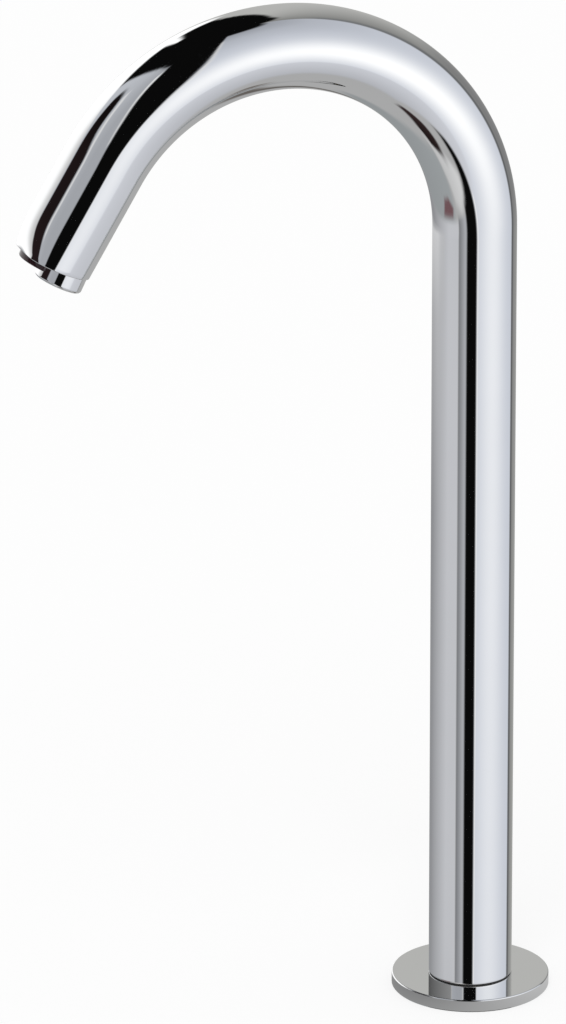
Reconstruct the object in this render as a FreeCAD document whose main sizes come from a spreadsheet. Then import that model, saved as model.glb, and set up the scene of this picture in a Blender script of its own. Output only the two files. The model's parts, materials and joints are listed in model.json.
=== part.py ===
import FreeCAD, Part
import os
import re
import Sketcher

# A tall swan-neck sensor tap for a washbasin, in millimetres.
# The origin is the centre of the flange's underside, where it stands on the deck.
# +Z is up, and the spout reaches towards -X.

SIZES = {
    # the bent spout tube
    "tube_radius": 14,
    "tube_wall": 1.2,
    "tube_rise": 265.8,
    "bend_radius": 69.2,
    "bend_angle": 149.1,
    "tail_length": 36.6,
    "taper_length": 11.4,
    "taper_squeeze": 1.5,
    "end_tilt": 5,
    # the round flange on the deck and its seals
    "flange_radius": 26.5,
    "flange_height": 4.4,
    "flange_edge": 0.4,
    "gasket_margin": 2.5,
    "gasket_width": 9,
    "gasket_height": 1.6,
    "gasket_gap": 0.15,
    "foot_ring_height": 0.8,
    "foot_ring_inset": 0.3,
    # the hollow threaded shank through the deck
    "shank_radius": 11,
    "shank_bore": 8.75,
    "shank_drop": 62,
    "shank_grip": 18,
    "shank_chamfer": 0.8,
    "shank_gap": 0.25,
    "thread_gap": 0.08,
    "fixed_gap": 0.05,
    "socket_length": 20,
    # the plug that closes the shank, with the water inlet and the lead's gland
    "plug_length": 10,
    "plug_collar": 1.5,
    "collar_inset": 0.7,
    "hose_offset": 3.8,
    "lead_offset": 5.8,
    "inlet_radius": 5,
    "inlet_length": 10,
    "inlet_chamfer": 0.6,
    "stem_radius": 3.9,
    "water_bore": 1.8,
    "barb_radius": 2.7,
    "barb_length": 9,
    "barb_ridge": 0.35,
    "hose_radius": 4,
    "hose_wall": 1.2,
    "ferrule_wall": 0.5,
    "ferrule_length": 8.5,
    "lead_radius": 1.5,
    "gland_wall": 0.8,
    "gland_head": 2.9,
    "gland_head_height": 1.2,
    # the block that fills the spout's end
    "block_length": 20,
    "block_gap": 0.15,
    "block_nipple_radius": 3.4,
    "block_nipple_depth": 7,
    "nipple_collar_radius": 4.5,
    "nipple_collar_height": 1.5,
    "nipple_seal_height": 0.8,
    "passage_radius": 2.5,
    "screw_radius": 1.5,
    "screw_length": 4,
    "screw_recess": 0.3,
    "screw_setback": 13,
    "screw_key_radius": 0.75,
    "screw_key_depth": 1.5,
    # the sensor in the block
    "pocket_flat": 2.8,
    "pocket_wall": 0.7,
    "pocket_depth": 17,
    "case_gap": 0.1,
    "case_wall": 0.55,
    "case_end": 3.2,
    "window_flat": 4.2,
    "window_inset": 0.3,
    "window_thickness": 2,
    "window_edge": 0.5,
    "board_setback": 9.9,
    "board_thickness": 0.8,
    "diode_radius": 1.35,
    "diode_height": 5,
    "diode_rim": 0.15,
    "diode_rim_height": 0.8,
    "diode_spacing": 7,
    "diode_offset": 5.05,
    "light_radius": 0.9,
    "light_height": 3.4,
    "potting_setback": 13,
    "boot_wall": 0.5,
    "boot_length": 3,
    "boot_stand": 2.5,
    # the aerator at the outlet
    "nose_offset": 5.7,
    "nose_radius": 8.2,
    "nose_length": 5.8,
    "nose_edge": 1.1,
    "nose_gap": 0.25,
    "neck_radius": 6.5,
    "neck_length": 6,
    "neck_chamfer": 0.4,
    "outlet_radius": 4.7,
    "outlet_lip": 1.2,
    "core_radius": 5.1,
    "core_gap": 0.15,
    "core_wall": 0.8,
    "core_deck": 1.4,
    "jet_radius": 0.55,
    "jet_circle": 2.9,
    "jet_count": 8,
    "washer_height": 1.2,
    "washer_hole": 3.6,
    "washer_inset": 0.25,
    "seat_gap": 0.1,
    "strainer_height": 0.7,
    "strainer_dome": 2,
    "strainer_skin": 0.4,
    "flow_disc_height": 1,
    "flow_hole_radius": 1.1,
    "screen_height": 0.35,
    "screen_step": 0.8,
    "screen_count": 3,
    # the fixing below the deck
    "deck_thickness": 30,
    "rubber_washer_radius": 22,
    "rubber_washer_height": 3,
    "steel_washer_radius": 21,
    "steel_washer_height": 1.6,
    "washer_gap": 0.3,
    "nut_flats": 30,
    "nut_height": 7,
    "nut_chamfer": 1.2,
}

doc = FreeCAD.newDocument("sensor_tap")
sheet = doc.addObject("Spreadsheet::Sheet", "sizes")
for row, (name, size) in enumerate(SIZES.items(), start=1):
    sheet.set(f"A{row}", name)
    sheet.set(f"B{row}", str(size))
    sheet.setAlias(f"B{row}", name)
doc.recompute()

PARTS = []


def bound(text):
    """The formula with each size written as its cell of the sheet."""
    return re.sub(r"[a-z_]+", lambda m: "sizes." + m[0] if m[0] in SIZES else m[0], text)


def value(text):
    """What the formula comes to at the present sizes."""
    return float(sheet.evalExpression(bound(text)))


def bind(item, path, text):
    item.setExpression(path, bound(text))


def keep(item, label):
    """Make this object a sub-part under its own name."""
    item.Label = label
    PARTS.append(item)
    return item


# Frames: an origin in the plane Y = 0 and a turn about Y, all as formulas.
TUBE_FOOT = "(flange_height + foot_ring_height)"
BEND_START = f"({TUBE_FOOT} + tube_rise)"
UPRIGHT = {"x": "0", "z": "0", "turn": "0"}
TAIL = {
    "x": "(-bend_radius + bend_radius * cos(bend_angle))",
    "z": f"({BEND_START} + bend_radius * sin(bend_angle))",
    "turn": "(-bend_angle)",
}
RIM = {
    "x": f"({TAIL['x']} - tail_length * sin(bend_angle))",
    "z": f"({TAIL['z']} + tail_length * cos(bend_angle))",
    "turn": "(-bend_angle - end_tilt)",
}
# The end is squeezed as the square of the way along it, so most at the rim's longest side.
RIM_REACH = "((tube_radius - 2 * taper_squeeze) * tan(end_tilt))"
END_SQUEEZE = f"(taper_squeeze * (1 + {RIM_REACH} / taper_length)^2)"


def placement(frame, x="0", y="0", z="0", tip="0"):
    """The formula for a placement at a point of a frame, tipped further about Y."""
    turn = frame["turn"]
    across = f"{frame['x']} + ({x}) * cos({turn}) + ({z}) * sin({turn})"
    height = f"{frame['z']} - ({x}) * sin({turn}) + ({z}) * cos({turn})"
    base = f"create(<<vector>>; {across}; {y}; {height})"
    axis = "create(<<vector>>; 0; 1; 0)"
    return f"create(<<placement>>; {base}; create(<<rotation>>; {axis}; {turn} + ({tip})))"


def put(item, frame, x="0", y="0", z="0", tip="0"):
    bind(item, "Placement", placement(frame, x, y, z, tip))
    return item


def plane(body, role):
    return next(item for item in body.Origin.OriginFeatures if item.Role == role)


def new_body(name):
    return doc.addObject("PartDesign::Body", name)


def new_sketch(body, name, role="XY_Plane", height=None):
    sketch = body.newObject("Sketcher::SketchObject", name)
    sketch.AttachmentSupport = [(plane(body, role), "")]
    sketch.MapMode = "FlatFace"
    if height is not None:
        bind(sketch, "AttachmentOffset.Base.z", height)
    return sketch


def fix_point(sketch, curve, end, x, y):
    """Hold a point of the sketch at two formulas."""
    for kind, axis, text in (("DistanceX", -2, x), ("DistanceY", -1, y)):
        if text == "0":
            sketch.addConstraint(Sketcher.Constraint("PointOnObject", curve, end, axis))
            continue
        held = sketch.addConstraint(Sketcher.Constraint(kind, -1, 1, curve, end, value(text)))
        bind(sketch, f"Constraints[{held}]", text)


def draw_circle(sketch, radius, x="0"):
    centre = FreeCAD.Vector(value(x), 0, 0)
    circle = sketch.addGeometry(Part.Circle(centre, FreeCAD.Vector(0, 0, 1), value(radius)))
    fix_point(sketch, circle, 3, x, "0")
    held = sketch.addConstraint(Sketcher.Constraint("Radius", circle, value(radius)))
    bind(sketch, f"Constraints[{held}]", radius)


def draw_outline(sketch, points):
    """A closed outline of straight edges through points given as formulas."""
    spots = [FreeCAD.Vector(value(x), value(y), 0) for x, y in points]
    for start, stop in zip(spots, spots[1:] + spots[:1]):
        sketch.addGeometry(Part.LineSegment(start, stop))
    for edge, (x, y) in enumerate(points):
        before = (edge - 1) % len(points)
        sketch.addConstraint(Sketcher.Constraint("Coincident", before, 2, edge, 1))
        fix_point(sketch, edge, 1, x, y)


def turned(name, points):
    """A body turned about its own Z axis from an outline of (radius, height)."""
    body = new_body(name)
    sketch = new_sketch(body, name + "_outline", "XZ_Plane")
    draw_outline(sketch, points)
    solid = body.newObject("PartDesign::Revolution", name + "_turned")
    solid.Profile = sketch
    solid.ReferenceAxis = (sketch, ["V_Axis"])
    solid.Angle = 360
    doc.recompute()
    return body


def ring(name, inner, outer, bottom, top):
    return turned(name, [(inner, bottom), (outer, bottom), (outer, top), (inner, top)])


def pillar(name, radius, bottom, top):
    return turned(name, [("0", bottom), (radius, bottom), (radius, top), ("0", top)])


def rounded(body, radius, wanted):
    """Round the edges of the body's last feature that pass the test."""
    base = body.Tip
    edges = enumerate(base.Shape.Edges, start=1)
    chosen = [f"Edge{number}" for number, edge in edges if wanted(edge)]
    fillet = body.newObject("PartDesign::Fillet", body.Name + "_round")
    fillet.Base = (base, chosen)
    bind(fillet, "Radius", radius)
    doc.recompute()
    return body


def d_plate(name, flat, radius, bottom, top):
    """A plate shaped like a D: a circle about the block's axis, cut off by a flat."""
    body = new_body(name)
    sketch = new_sketch(body, name + "_shape", "XY_Plane", bottom)
    middle = value(f"-{END_SQUEEZE}")
    half = (value(radius) ** 2 - (value(flat) - middle) ** 2) ** 0.5
    lower = FreeCAD.Vector(value(flat), -half, 0)
    upper = FreeCAD.Vector(value(flat), half, 0)
    outer = FreeCAD.Vector(middle + value(radius), 0, 0)
    arc = sketch.addGeometry(Part.Arc(lower, outer, upper))
    chord = sketch.addGeometry(Part.LineSegment(upper, lower))
    sketch.addConstraint(Sketcher.Constraint("Coincident", arc, 2, chord, 1))
    sketch.addConstraint(Sketcher.Constraint("Coincident", arc, 1, chord, 2))
    sketch.addConstraint(Sketcher.Constraint("Vertical", chord))
    fix_point(sketch, arc, 3, f"-{END_SQUEEZE}", "0")
    held = sketch.addConstraint(Sketcher.Constraint("Radius", arc, value(radius)))
    bind(sketch, f"Constraints[{held}]", radius)
    held = sketch.addConstraint(Sketcher.Constraint("DistanceX", -1, 1, chord, 1, value(flat)))
    bind(sketch, f"Constraints[{held}]", flat)
    pad = body.newObject("PartDesign::Pad", name + "_pad")
    pad.Profile = sketch
    bind(pad, "Length", f"({top}) - ({bottom})")
    doc.recompute()
    return body


def routed(name, outer, inner, offset, start, finish):
    """A tube that follows the spout at an offset from its axis: up, round the bend and down.

    It starts at a height above the deck and finishes at a distance along the tail.
    """
    body = new_body(name)
    path = new_sketch(body, name + "_route", "XZ_Plane")
    turn = f"(bend_radius + ({offset}))"
    bend_end_x = f"(-bend_radius + {turn} * cos(bend_angle))"
    bend_end_z = f"({BEND_START} + {turn} * sin(bend_angle))"
    mid_x = f"(-bend_radius + {turn} * cos(bend_angle / 2))"
    mid_z = f"({BEND_START} + {turn} * sin(bend_angle / 2))"
    last_x = f"({bend_end_x} - ({finish}) * sin(bend_angle))"
    last_z = f"({bend_end_z} + ({finish}) * cos(bend_angle))"

    def spot(x, z):
        return FreeCAD.Vector(value(x), value(z), 0)

    rise = path.addGeometry(Part.LineSegment(spot(offset, start), spot(offset, BEND_START)))
    over = Part.Arc(spot(offset, BEND_START), spot(mid_x, mid_z), spot(bend_end_x, bend_end_z))
    bend = path.addGeometry(over)
    tail = path.addGeometry(Part.LineSegment(spot(bend_end_x, bend_end_z), spot(last_x, last_z)))
    path.addConstraint(Sketcher.Constraint("Coincident", rise, 2, bend, 1))
    path.addConstraint(Sketcher.Constraint("Coincident", bend, 2, tail, 1))
    fix_point(path, rise, 1, offset, start)
    fix_point(path, rise, 2, offset, BEND_START)
    fix_point(path, bend, 2, bend_end_x, bend_end_z)
    held = path.addConstraint(Sketcher.Constraint("Radius", bend, value(turn)))
    bind(path, f"Constraints[{held}]", turn)
    fix_point(path, tail, 2, last_x, last_z)
    section = new_sketch(body, name + "_section", "XY_Plane", start)
    draw_circle(section, outer, offset)
    if inner:
        draw_circle(section, inner, offset)
    doc.recompute()
    pipe = body.newObject("PartDesign::AdditivePipe", name + "_pipe")
    pipe.Profile = section
    pipe.Spine = (path, ["Edge1", "Edge2", "Edge3"])
    doc.recompute()
    return body


def cut(base, *tools):
    for tool in tools:
        result = doc.addObject("Part::Cut", base.Name + "_cut")
        result.Base = base
        result.Tool = tool
        base = result
    doc.recompute()
    return base


def fuse(base, tool):
    result = doc.addObject("Part::Fuse", base.Name + "_fused")
    result.Base = base
    result.Tool = tool
    doc.recompute()
    return result


def common(base, tool):
    result = doc.addObject("Part::Common", base.Name + "_common")
    result.Base = base
    result.Tool = tool
    doc.recompute()
    return result


def drill(name, radius, depth, frame, x="0", y="0", z="0", tip="0"):
    """A plain cylinder used as a cutter, running along its frame's Z."""
    tool = doc.addObject("Part::Cylinder", name)
    bind(tool, "Radius", radius)
    bind(tool, "Height", depth)
    return put(tool, frame, x, y, z, tip)


def past_rim(name, gap="0"):
    """A box over everything that lies beyond the slanted plane of the spout's rim."""
    tool = doc.addObject("Part::Box", name)
    span = "(4 * tube_radius)"
    for side in ("Length", "Width", "Height"):
        bind(tool, side, span)
    return put(tool, RIM, f"-{span} / 2", f"-{span} / 2", gap)


# ---- the flange and the seals at the foot ----
FLANGE_BORE = "(shank_radius + shank_gap)"
GASKET_OUTER = "(flange_radius - gasket_margin)"
GASKET_INNER = f"({GASKET_OUTER} - gasket_width)"


def base_flange():
    inner = f"({GASKET_INNER} - gasket_gap)"
    outer = f"({GASKET_OUTER} + gasket_gap)"
    outline = [
        (FLANGE_BORE, "0"),
        (inner, "0"),
        (inner, "gasket_height"),
        (outer, "gasket_height"),
        (outer, "0"),
        ("flange_radius - flange_edge", "0"),
        ("flange_radius", "flange_edge"),
        ("flange_radius", "flange_height"),
        (FLANGE_BORE, "flange_height"),
    ]
    body = turned("base_flange_body", outline)

    def top_edge(edge):
        low = edge.BoundBox.ZMin > value("flange_height") - 0.01
        return low and edge.BoundBox.XMax > value("flange_radius") - 0.01

    keep(rounded(body, "flange_edge", top_edge), "base_flange")


def foot_seals():
    keep(ring("deck_gasket_body", GASKET_INNER, GASKET_OUTER, "0", "gasket_height"),
         "deck_gasket")
    keep(ring("foot_ring_body", FLANGE_BORE, "tube_radius - foot_ring_inset",
              "flange_height", TUBE_FOOT), "foot_ring")


# ---- the spout tube, with its squeezed end ----
TUBE_BORE = "(tube_radius - tube_wall)"
TAPER_START = "(tail_length - taper_length)"
SCREW_AT = "(tail_length - screw_setback)"
TAPER_SECTIONS = 4


def tube_end(body):
    """The last stretch, narrowed on its outer side only, and run on past the rim."""
    rings = []
    for step in range(TAPER_SECTIONS + 1):
        share = f"{step} / {TAPER_SECTIONS - 1}"
        squeeze = f"(taper_squeeze * ({share}) * ({share}))"
        section = body.newObject("Sketcher::SketchObject", f"taper_ring_{step}")
        section.AttachmentSupport = [(plane(body, "XY_Plane"), "")]
        section.MapMode = "FlatFace"
        at = placement(TAIL, f"-{squeeze}", "0", f"{TAPER_START} + taper_length * {share}")
        bind(section, "AttachmentOffset", at)
        draw_circle(section, f"tube_radius - {squeeze}")
        draw_circle(section, f"{TUBE_BORE} - {squeeze}")
        rings.append(section)
    doc.recompute()
    loft = body.newObject("PartDesign::AdditiveLoft", "tube_taper")
    loft.Profile = rings[0]
    loft.Sections = rings[1:]
    doc.recompute()


def spout_tube():
    body = routed("tube_body", "tube_radius", TUBE_BORE, "0", TUBE_FOOT, TAPER_START)
    tube_end(body)
    screw_hole = drill("tube_screw_hole", "screw_radius + fixed_gap", "2 * tube_wall + 1", TAIL,
                       "-tube_radius - 1", "0", SCREW_AT, "90")
    keep(cut(body, past_rim("tube_past_rim"), screw_hole), "spout_tube")


# ---- the shank below the flange, and what closes it ----
SHANK_END = "(-shank_drop)"
PLUG_TOP = "(plug_length - shank_drop)"
COLLAR_FOOT = "(-shank_drop - plug_collar)"
HOSE_LINE = "(-hose_offset)"


def foot_socket():
    keep(ring("foot_socket_body", "shank_radius + thread_gap", f"{TUBE_BORE} - fixed_gap",
              TUBE_FOOT, f"{TUBE_FOOT} + socket_length"), "foot_socket")


def threaded_shank():
    outline = [
        ("shank_bore", SHANK_END),
        ("shank_radius - shank_chamfer", SHANK_END),
        ("shank_radius", f"{SHANK_END} + shank_chamfer"),
        ("shank_radius", f"{TUBE_FOOT} + shank_grip"),
        ("shank_bore", f"{TUBE_FOOT} + shank_grip"),
    ]
    keep(turned("threaded_shank_body", outline), "threaded_shank")


def shank_plug():
    outline = [
        ("0", COLLAR_FOOT),
        ("shank_radius - collar_inset", COLLAR_FOOT),
        ("shank_radius - collar_inset", SHANK_END),
        ("shank_bore - fixed_gap", SHANK_END),
        ("shank_bore - fixed_gap", PLUG_TOP),
        ("0", PLUG_TOP),
    ]
    through = "(plug_length + plug_collar + 2)"
    inlet_hole = drill("plug_inlet_hole", "stem_radius + fixed_gap", through, UPRIGHT,
                       HOSE_LINE, "0", f"{COLLAR_FOOT} - 1")
    gland_hole = drill("plug_gland_hole", "lead_radius + gland_wall + fixed_gap", through,
                       UPRIGHT, "lead_offset", "0", f"{COLLAR_FOOT} - 1")
    keep(cut(turned("shank_plug_body", outline), inlet_hole, gland_hole), "shank_plug")


def barb(base, way):
    """The outline of a hose barb that stands on the height base, up (+) or down (-)."""
    return [
        ("barb_radius - barb_ridge", base),
        ("barb_radius - barb_ridge", f"{base} {way} barb_length / 2"),
        ("barb_radius", f"{base} {way} barb_length / 2"),
        ("barb_radius - barb_ridge", f"{base} {way} barb_length"),
        ("water_bore", f"{base} {way} barb_length"),
    ]


def inlet_nipple():
    foot = f"({COLLAR_FOOT} - inlet_length)"
    outline = [
        ("water_bore", foot),
        ("inlet_radius - inlet_chamfer", foot),
        ("inlet_radius", f"{foot} + inlet_chamfer"),
        ("inlet_radius", COLLAR_FOOT),
        ("stem_radius", COLLAR_FOOT),
        ("stem_radius", PLUG_TOP),
    ] + barb(PLUG_TOP, "+")
    keep(put(turned("inlet_nipple_body", outline), UPRIGHT, HOSE_LINE), "inlet_nipple")


def cable_gland():
    sleeve = "(lead_radius + gland_wall)"
    foot = f"({COLLAR_FOOT} - gland_head_height)"
    outline = [
        ("lead_radius + fixed_gap", foot),
        ("gland_head", foot),
        ("gland_head", COLLAR_FOOT),
        (sleeve, COLLAR_FOOT),
        (sleeve, PLUG_TOP),
        ("lead_radius + fixed_gap", PLUG_TOP),
    ]
    keep(put(turned("cable_gland_body", outline), UPRIGHT, "lead_offset"), "cable_gland")


# ---- the hose and the lead, whole along their routes inside the spout ----
BLOCK_TOP = "(tail_length - block_length)"
NIPPLE_SHOULDER = f"({BLOCK_TOP} - nipple_seal_height - nipple_collar_height)"
BOARD_BACK = "(tail_length - board_setback - board_thickness)"


def water_hose():
    body = routed("water_hose_body", "hose_radius", "hose_radius - hose_wall", HOSE_LINE,
                  f"{PLUG_TOP} + seat_gap", f"{NIPPLE_SHOULDER} - seat_gap")
    keep(body, "water_hose")


def sensor_lead():
    body = routed("sensor_lead_body", "lead_radius", None, "lead_offset",
                  f"({COLLAR_FOOT} - gland_head_height)", f"{BOARD_BACK} - fixed_gap")
    keep(body, "sensor_lead")


def ferrules():
    """The crimped sleeves that hold the hose on its two barbs."""
    inner = "hose_radius + fixed_gap"
    outer = "hose_radius + fixed_gap + ferrule_wall"
    lower = ring("lower_ferrule_body", inner, outer, f"{PLUG_TOP} + seat_gap",
                 f"{PLUG_TOP} + seat_gap + ferrule_length")
    keep(put(lower, UPRIGHT, HOSE_LINE), "lower_ferrule")
    upper = ring("upper_ferrule_body", inner, outer,
                 f"{NIPPLE_SHOULDER} - seat_gap - ferrule_length",
                 f"{NIPPLE_SHOULDER} - seat_gap")
    keep(put(upper, TAIL, HOSE_LINE), "upper_ferrule")


# ---- the block that fills the spout's end ----
BLOCK_RADIUS = f"({TUBE_BORE} - {END_SQUEEZE} - block_gap)"
POCKET_RADIUS = f"({BLOCK_RADIUS} - pocket_wall)"
POCKET_TOP = "(tail_length - pocket_depth)"
SEAT = "(-neck_length - seat_gap - washer_height - seat_gap)"


def outlet_block():
    blank = pillar("block_blank", BLOCK_RADIUS, BLOCK_TOP, "tail_length + tube_radius")
    put(blank, TAIL, f"-{END_SQUEEZE}")
    pocket = put(d_plate("block_pocket", "pocket_flat", POCKET_RADIUS, POCKET_TOP,
                         "tail_length + tube_radius"), TAIL)
    neck_bore = drill("block_neck_bore", "neck_radius + thread_gap", f"5 - {SEAT}", RIM,
                      "-nose_offset", "0", SEAT)
    passage = drill("block_passage", "passage_radius",
                    "block_length - block_nipple_depth / 2", RIM, "-nose_offset", "0",
                    "-block_length + block_nipple_depth / 2")
    nipple_hole = drill("block_nipple_hole", "block_nipple_radius + fixed_gap",
                        "block_nipple_depth + 1", TAIL, HOSE_LINE, "0", f"{BLOCK_TOP} - 1")
    lead_hole = drill("block_lead_hole", "lead_radius + boot_wall + fixed_gap",
                      f"{POCKET_TOP} - {BLOCK_TOP} + 2", TAIL, "lead_offset", "0",
                      f"{BLOCK_TOP} - 1")
    screw_hole = drill("block_screw_hole", "screw_radius + fixed_gap",
                       "tube_wall + screw_recess + screw_length + seat_gap", TAIL,
                       "-tube_radius", "0", SCREW_AT, "90")
    tools = [past_rim("block_past_rim"), pocket, neck_bore, passage, nipple_hole, lead_hole,
             screw_hole]
    keep(cut(blank, *tools), "outlet_block")


def block_nipple():
    outline = [
        ("water_bore", f"{BLOCK_TOP} + block_nipple_depth"),
        ("block_nipple_radius", f"{BLOCK_TOP} + block_nipple_depth"),
        ("block_nipple_radius", f"{BLOCK_TOP} - nipple_seal_height"),
        ("nipple_collar_radius", f"{BLOCK_TOP} - nipple_seal_height"),
        ("nipple_collar_radius", NIPPLE_SHOULDER),
    ] + barb(NIPPLE_SHOULDER, "-")
    keep(put(turned("block_nipple_body", outline), TAIL, HOSE_LINE), "block_nipple")
    seal = ring("nipple_seal_body", "block_nipple_radius + fixed_gap", "nipple_collar_radius",
                f"{BLOCK_TOP} - nipple_seal_height", BLOCK_TOP)
    keep(put(seal, TAIL, HOSE_LINE), "nipple_seal")


def block_screw():
    """A grub screw through the inner side of the spout, with a round key hole."""
    near = "(-tube_radius + screw_recess)"
    shaft = drill("screw_shaft", "screw_radius", "screw_length", TAIL, near, "0", SCREW_AT,
                  "90")
    key = drill("screw_key", "screw_key_radius", "screw_key_depth", TAIL, near, "0", SCREW_AT,
                "90")
    keep(cut(shaft, key), "block_screw")


# ---- the sensor: window, case, board, diodes, potting and boot ----
CASE_FLAT = "(pocket_flat + case_gap)"
CASE_RADIUS = f"({POCKET_RADIUS} - case_gap)"
CASE_TOP = f"({POCKET_TOP} + case_gap)"
CASE_MOUTH = "(tail_length - case_end)"
ROOM_FLAT = f"({CASE_FLAT} + case_wall)"
ROOM_RADIUS = f"({CASE_RADIUS} - case_wall)"
BOARD_FACE = "(tail_length - board_setback)"


def sensor_case():
    shell = put(d_plate("case_shell", CASE_FLAT, CASE_RADIUS, CASE_TOP, CASE_MOUTH), TAIL)
    room = put(d_plate("case_room", ROOM_FLAT, ROOM_RADIUS, f"{CASE_TOP} + case_wall",
                       f"{CASE_MOUTH} + 1"), TAIL)
    lead_hole = drill("case_lead_hole", "lead_radius + fixed_gap", "case_wall + 2", TAIL,
                      "lead_offset", "0", f"{CASE_TOP} - 1")
    keep(cut(shell, room, lead_hole), "sensor_case")


def sensor_window():
    """The dark lens: a D-shaped plate below the rim, with a plug up into the case's pocket."""
    body = d_plate("window_plate", "window_flat",
                   f"tube_radius - {END_SQUEEZE} - window_inset", "fixed_gap",
                   "window_thickness + fixed_gap")

    def face_edge(edge):
        return edge.BoundBox.ZMin > value("window_thickness + fixed_gap") - 0.01

    plate = put(rounded(body, "window_edge", face_edge), RIM)
    plug = put(d_plate("window_plug", f"{CASE_FLAT} + window_flat - pocket_flat", CASE_RADIUS,
                       f"{CASE_MOUTH} + fixed_gap", "tail_length + tube_radius"), TAIL)
    short_plug = cut(plug, past_rim("plug_past_plate", "window_thickness / 2"))
    keep(fuse(plate, short_plug), "sensor_window")


def sensor_board():
    board = put(d_plate("board_blank", f"{ROOM_FLAT} + case_gap", f"{ROOM_RADIUS} - case_gap",
                        BOARD_BACK, BOARD_FACE), TAIL)
    keep(board, "sensor_board")


def domed(name, radius, height, rim, rim_height):
    """A domed diode that stands on the board and looks out of the spout."""
    outline = [
        ("0", BOARD_FACE),
        (f"{radius} + {rim}", BOARD_FACE),
        (f"{radius} + {rim}", f"{BOARD_FACE} + {rim_height}"),
        (radius, f"{BOARD_FACE} + {rim_height}"),
        (radius, f"{BOARD_FACE} + {height}"),
        ("0", f"{BOARD_FACE} + {height}"),
    ]
    body = turned(name + "_body", outline)

    def dome_edge(edge):
        return edge.BoundBox.ZMin > value(f"{BOARD_FACE} + {height}") - 0.01

    return rounded(body, f"0.9 * {radius}", dome_edge)


def sensor_diodes():
    for name, side in (("ir_emitter", "-"), ("ir_receiver", "")):
        diode = domed(name, "diode_radius", "diode_height", "diode_rim", "diode_rim_height")
        keep(put(diode, TAIL, "diode_offset", f"{side}diode_spacing / 2"), name)
    light = domed("status_light", "light_radius", "light_height", "diode_rim",
                  "diode_rim_height")
    keep(put(light, TAIL, "diode_offset"), "status_light")


def case_potting():
    fill = put(d_plate("potting_blank", f"{ROOM_FLAT} + fixed_gap",
                       f"{ROOM_RADIUS} - fixed_gap", f"{CASE_TOP} + case_wall + fixed_gap",
                       "tail_length - potting_setback"), TAIL)
    lead_hole = drill("potting_lead_hole", "lead_radius + fixed_gap", "pocket_depth", TAIL,
                      "lead_offset", "0", CASE_TOP)
    keep(cut(fill, lead_hole), "case_potting")


def lead_boot():
    """The soft sleeve where the lead enters the block."""
    boot = ring("lead_boot_body", "lead_radius + fixed_gap", "lead_radius + boot_wall",
                f"{BLOCK_TOP} - boot_stand", f"{BLOCK_TOP} - boot_stand + boot_length")
    keep(put(boot, TAIL, "lead_offset"), "lead_boot")


# ---- the aerator, on its own slanted axis ----
NOSE_FACE = "(nose_gap + nose_length)"
CORE_FOOT = "(nose_gap + nose_length - outlet_lip - seat_gap)"
HOUSING_BORE = "(core_radius + core_gap)"
STACK_TOP = "(-neck_length + seat_gap)"
STRAINER_FOOT = f"({STACK_TOP} + strainer_height)"
DISC_FOOT = f"({STRAINER_FOOT} + seat_gap + flow_disc_height)"
CORE_HEAD = f"({DISC_FOOT} + seat_gap)"
SCREEN_RADIUS = "(core_radius - core_wall - fixed_gap)"


def on_nose(body, label):
    keep(put(body, RIM, "-nose_offset"), label)


def aerator_housing():
    outline = [
        (HOUSING_BORE, "-neck_length"),
        ("neck_radius - neck_chamfer", "-neck_length"),
        ("neck_radius", "-neck_length + neck_chamfer"),
        ("neck_radius", "nose_gap"),
        ("nose_radius", "nose_gap"),
        ("nose_radius", NOSE_FACE),
        ("outlet_radius", NOSE_FACE),
        ("outlet_radius", f"{NOSE_FACE} - outlet_lip"),
        (HOUSING_BORE, f"{NOSE_FACE} - outlet_lip"),
    ]
    body = turned("aerator_housing_body", outline)

    def lower_edge(edge):
        low = edge.BoundBox.ZMin > value(NOSE_FACE) - 0.01
        return low and edge.BoundBox.XMax > value("nose_radius") - 0.01

    on_nose(rounded(body, "nose_edge", lower_edge), "aerator_housing")


def aerator_washer():
    body = ring("aerator_washer_body", "washer_hole", "neck_radius - washer_inset",
                "-neck_length - seat_gap - washer_height", "-neck_length - seat_gap")
    on_nose(body, "aerator_washer")


def inlet_strainer():
    """A dished gauze: a flat rim under the washer, with a cone that rises through its hole."""
    cone = "(washer_hole - core_gap)"
    outline = [
        ("0", f"{STACK_TOP} - strainer_dome"),
        (f"{cone} / 2", f"{STACK_TOP} - strainer_dome"),
        (cone, STACK_TOP),
        ("core_radius", STACK_TOP),
        ("core_radius", STRAINER_FOOT),
        (f"{cone} - strainer_skin", STRAINER_FOOT),
        (f"{cone} / 2 - strainer_skin", f"{STACK_TOP} - strainer_dome + strainer_skin"),
        ("0", f"{STACK_TOP} - strainer_dome + strainer_skin"),
    ]
    on_nose(turned("inlet_strainer_body", outline), "inlet_strainer")


def flow_disc():
    body = ring("flow_disc_body", "flow_hole_radius", "core_radius",
                f"{STRAINER_FOOT} + seat_gap", DISC_FOOT)
    on_nose(body, "flow_disc")


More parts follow.
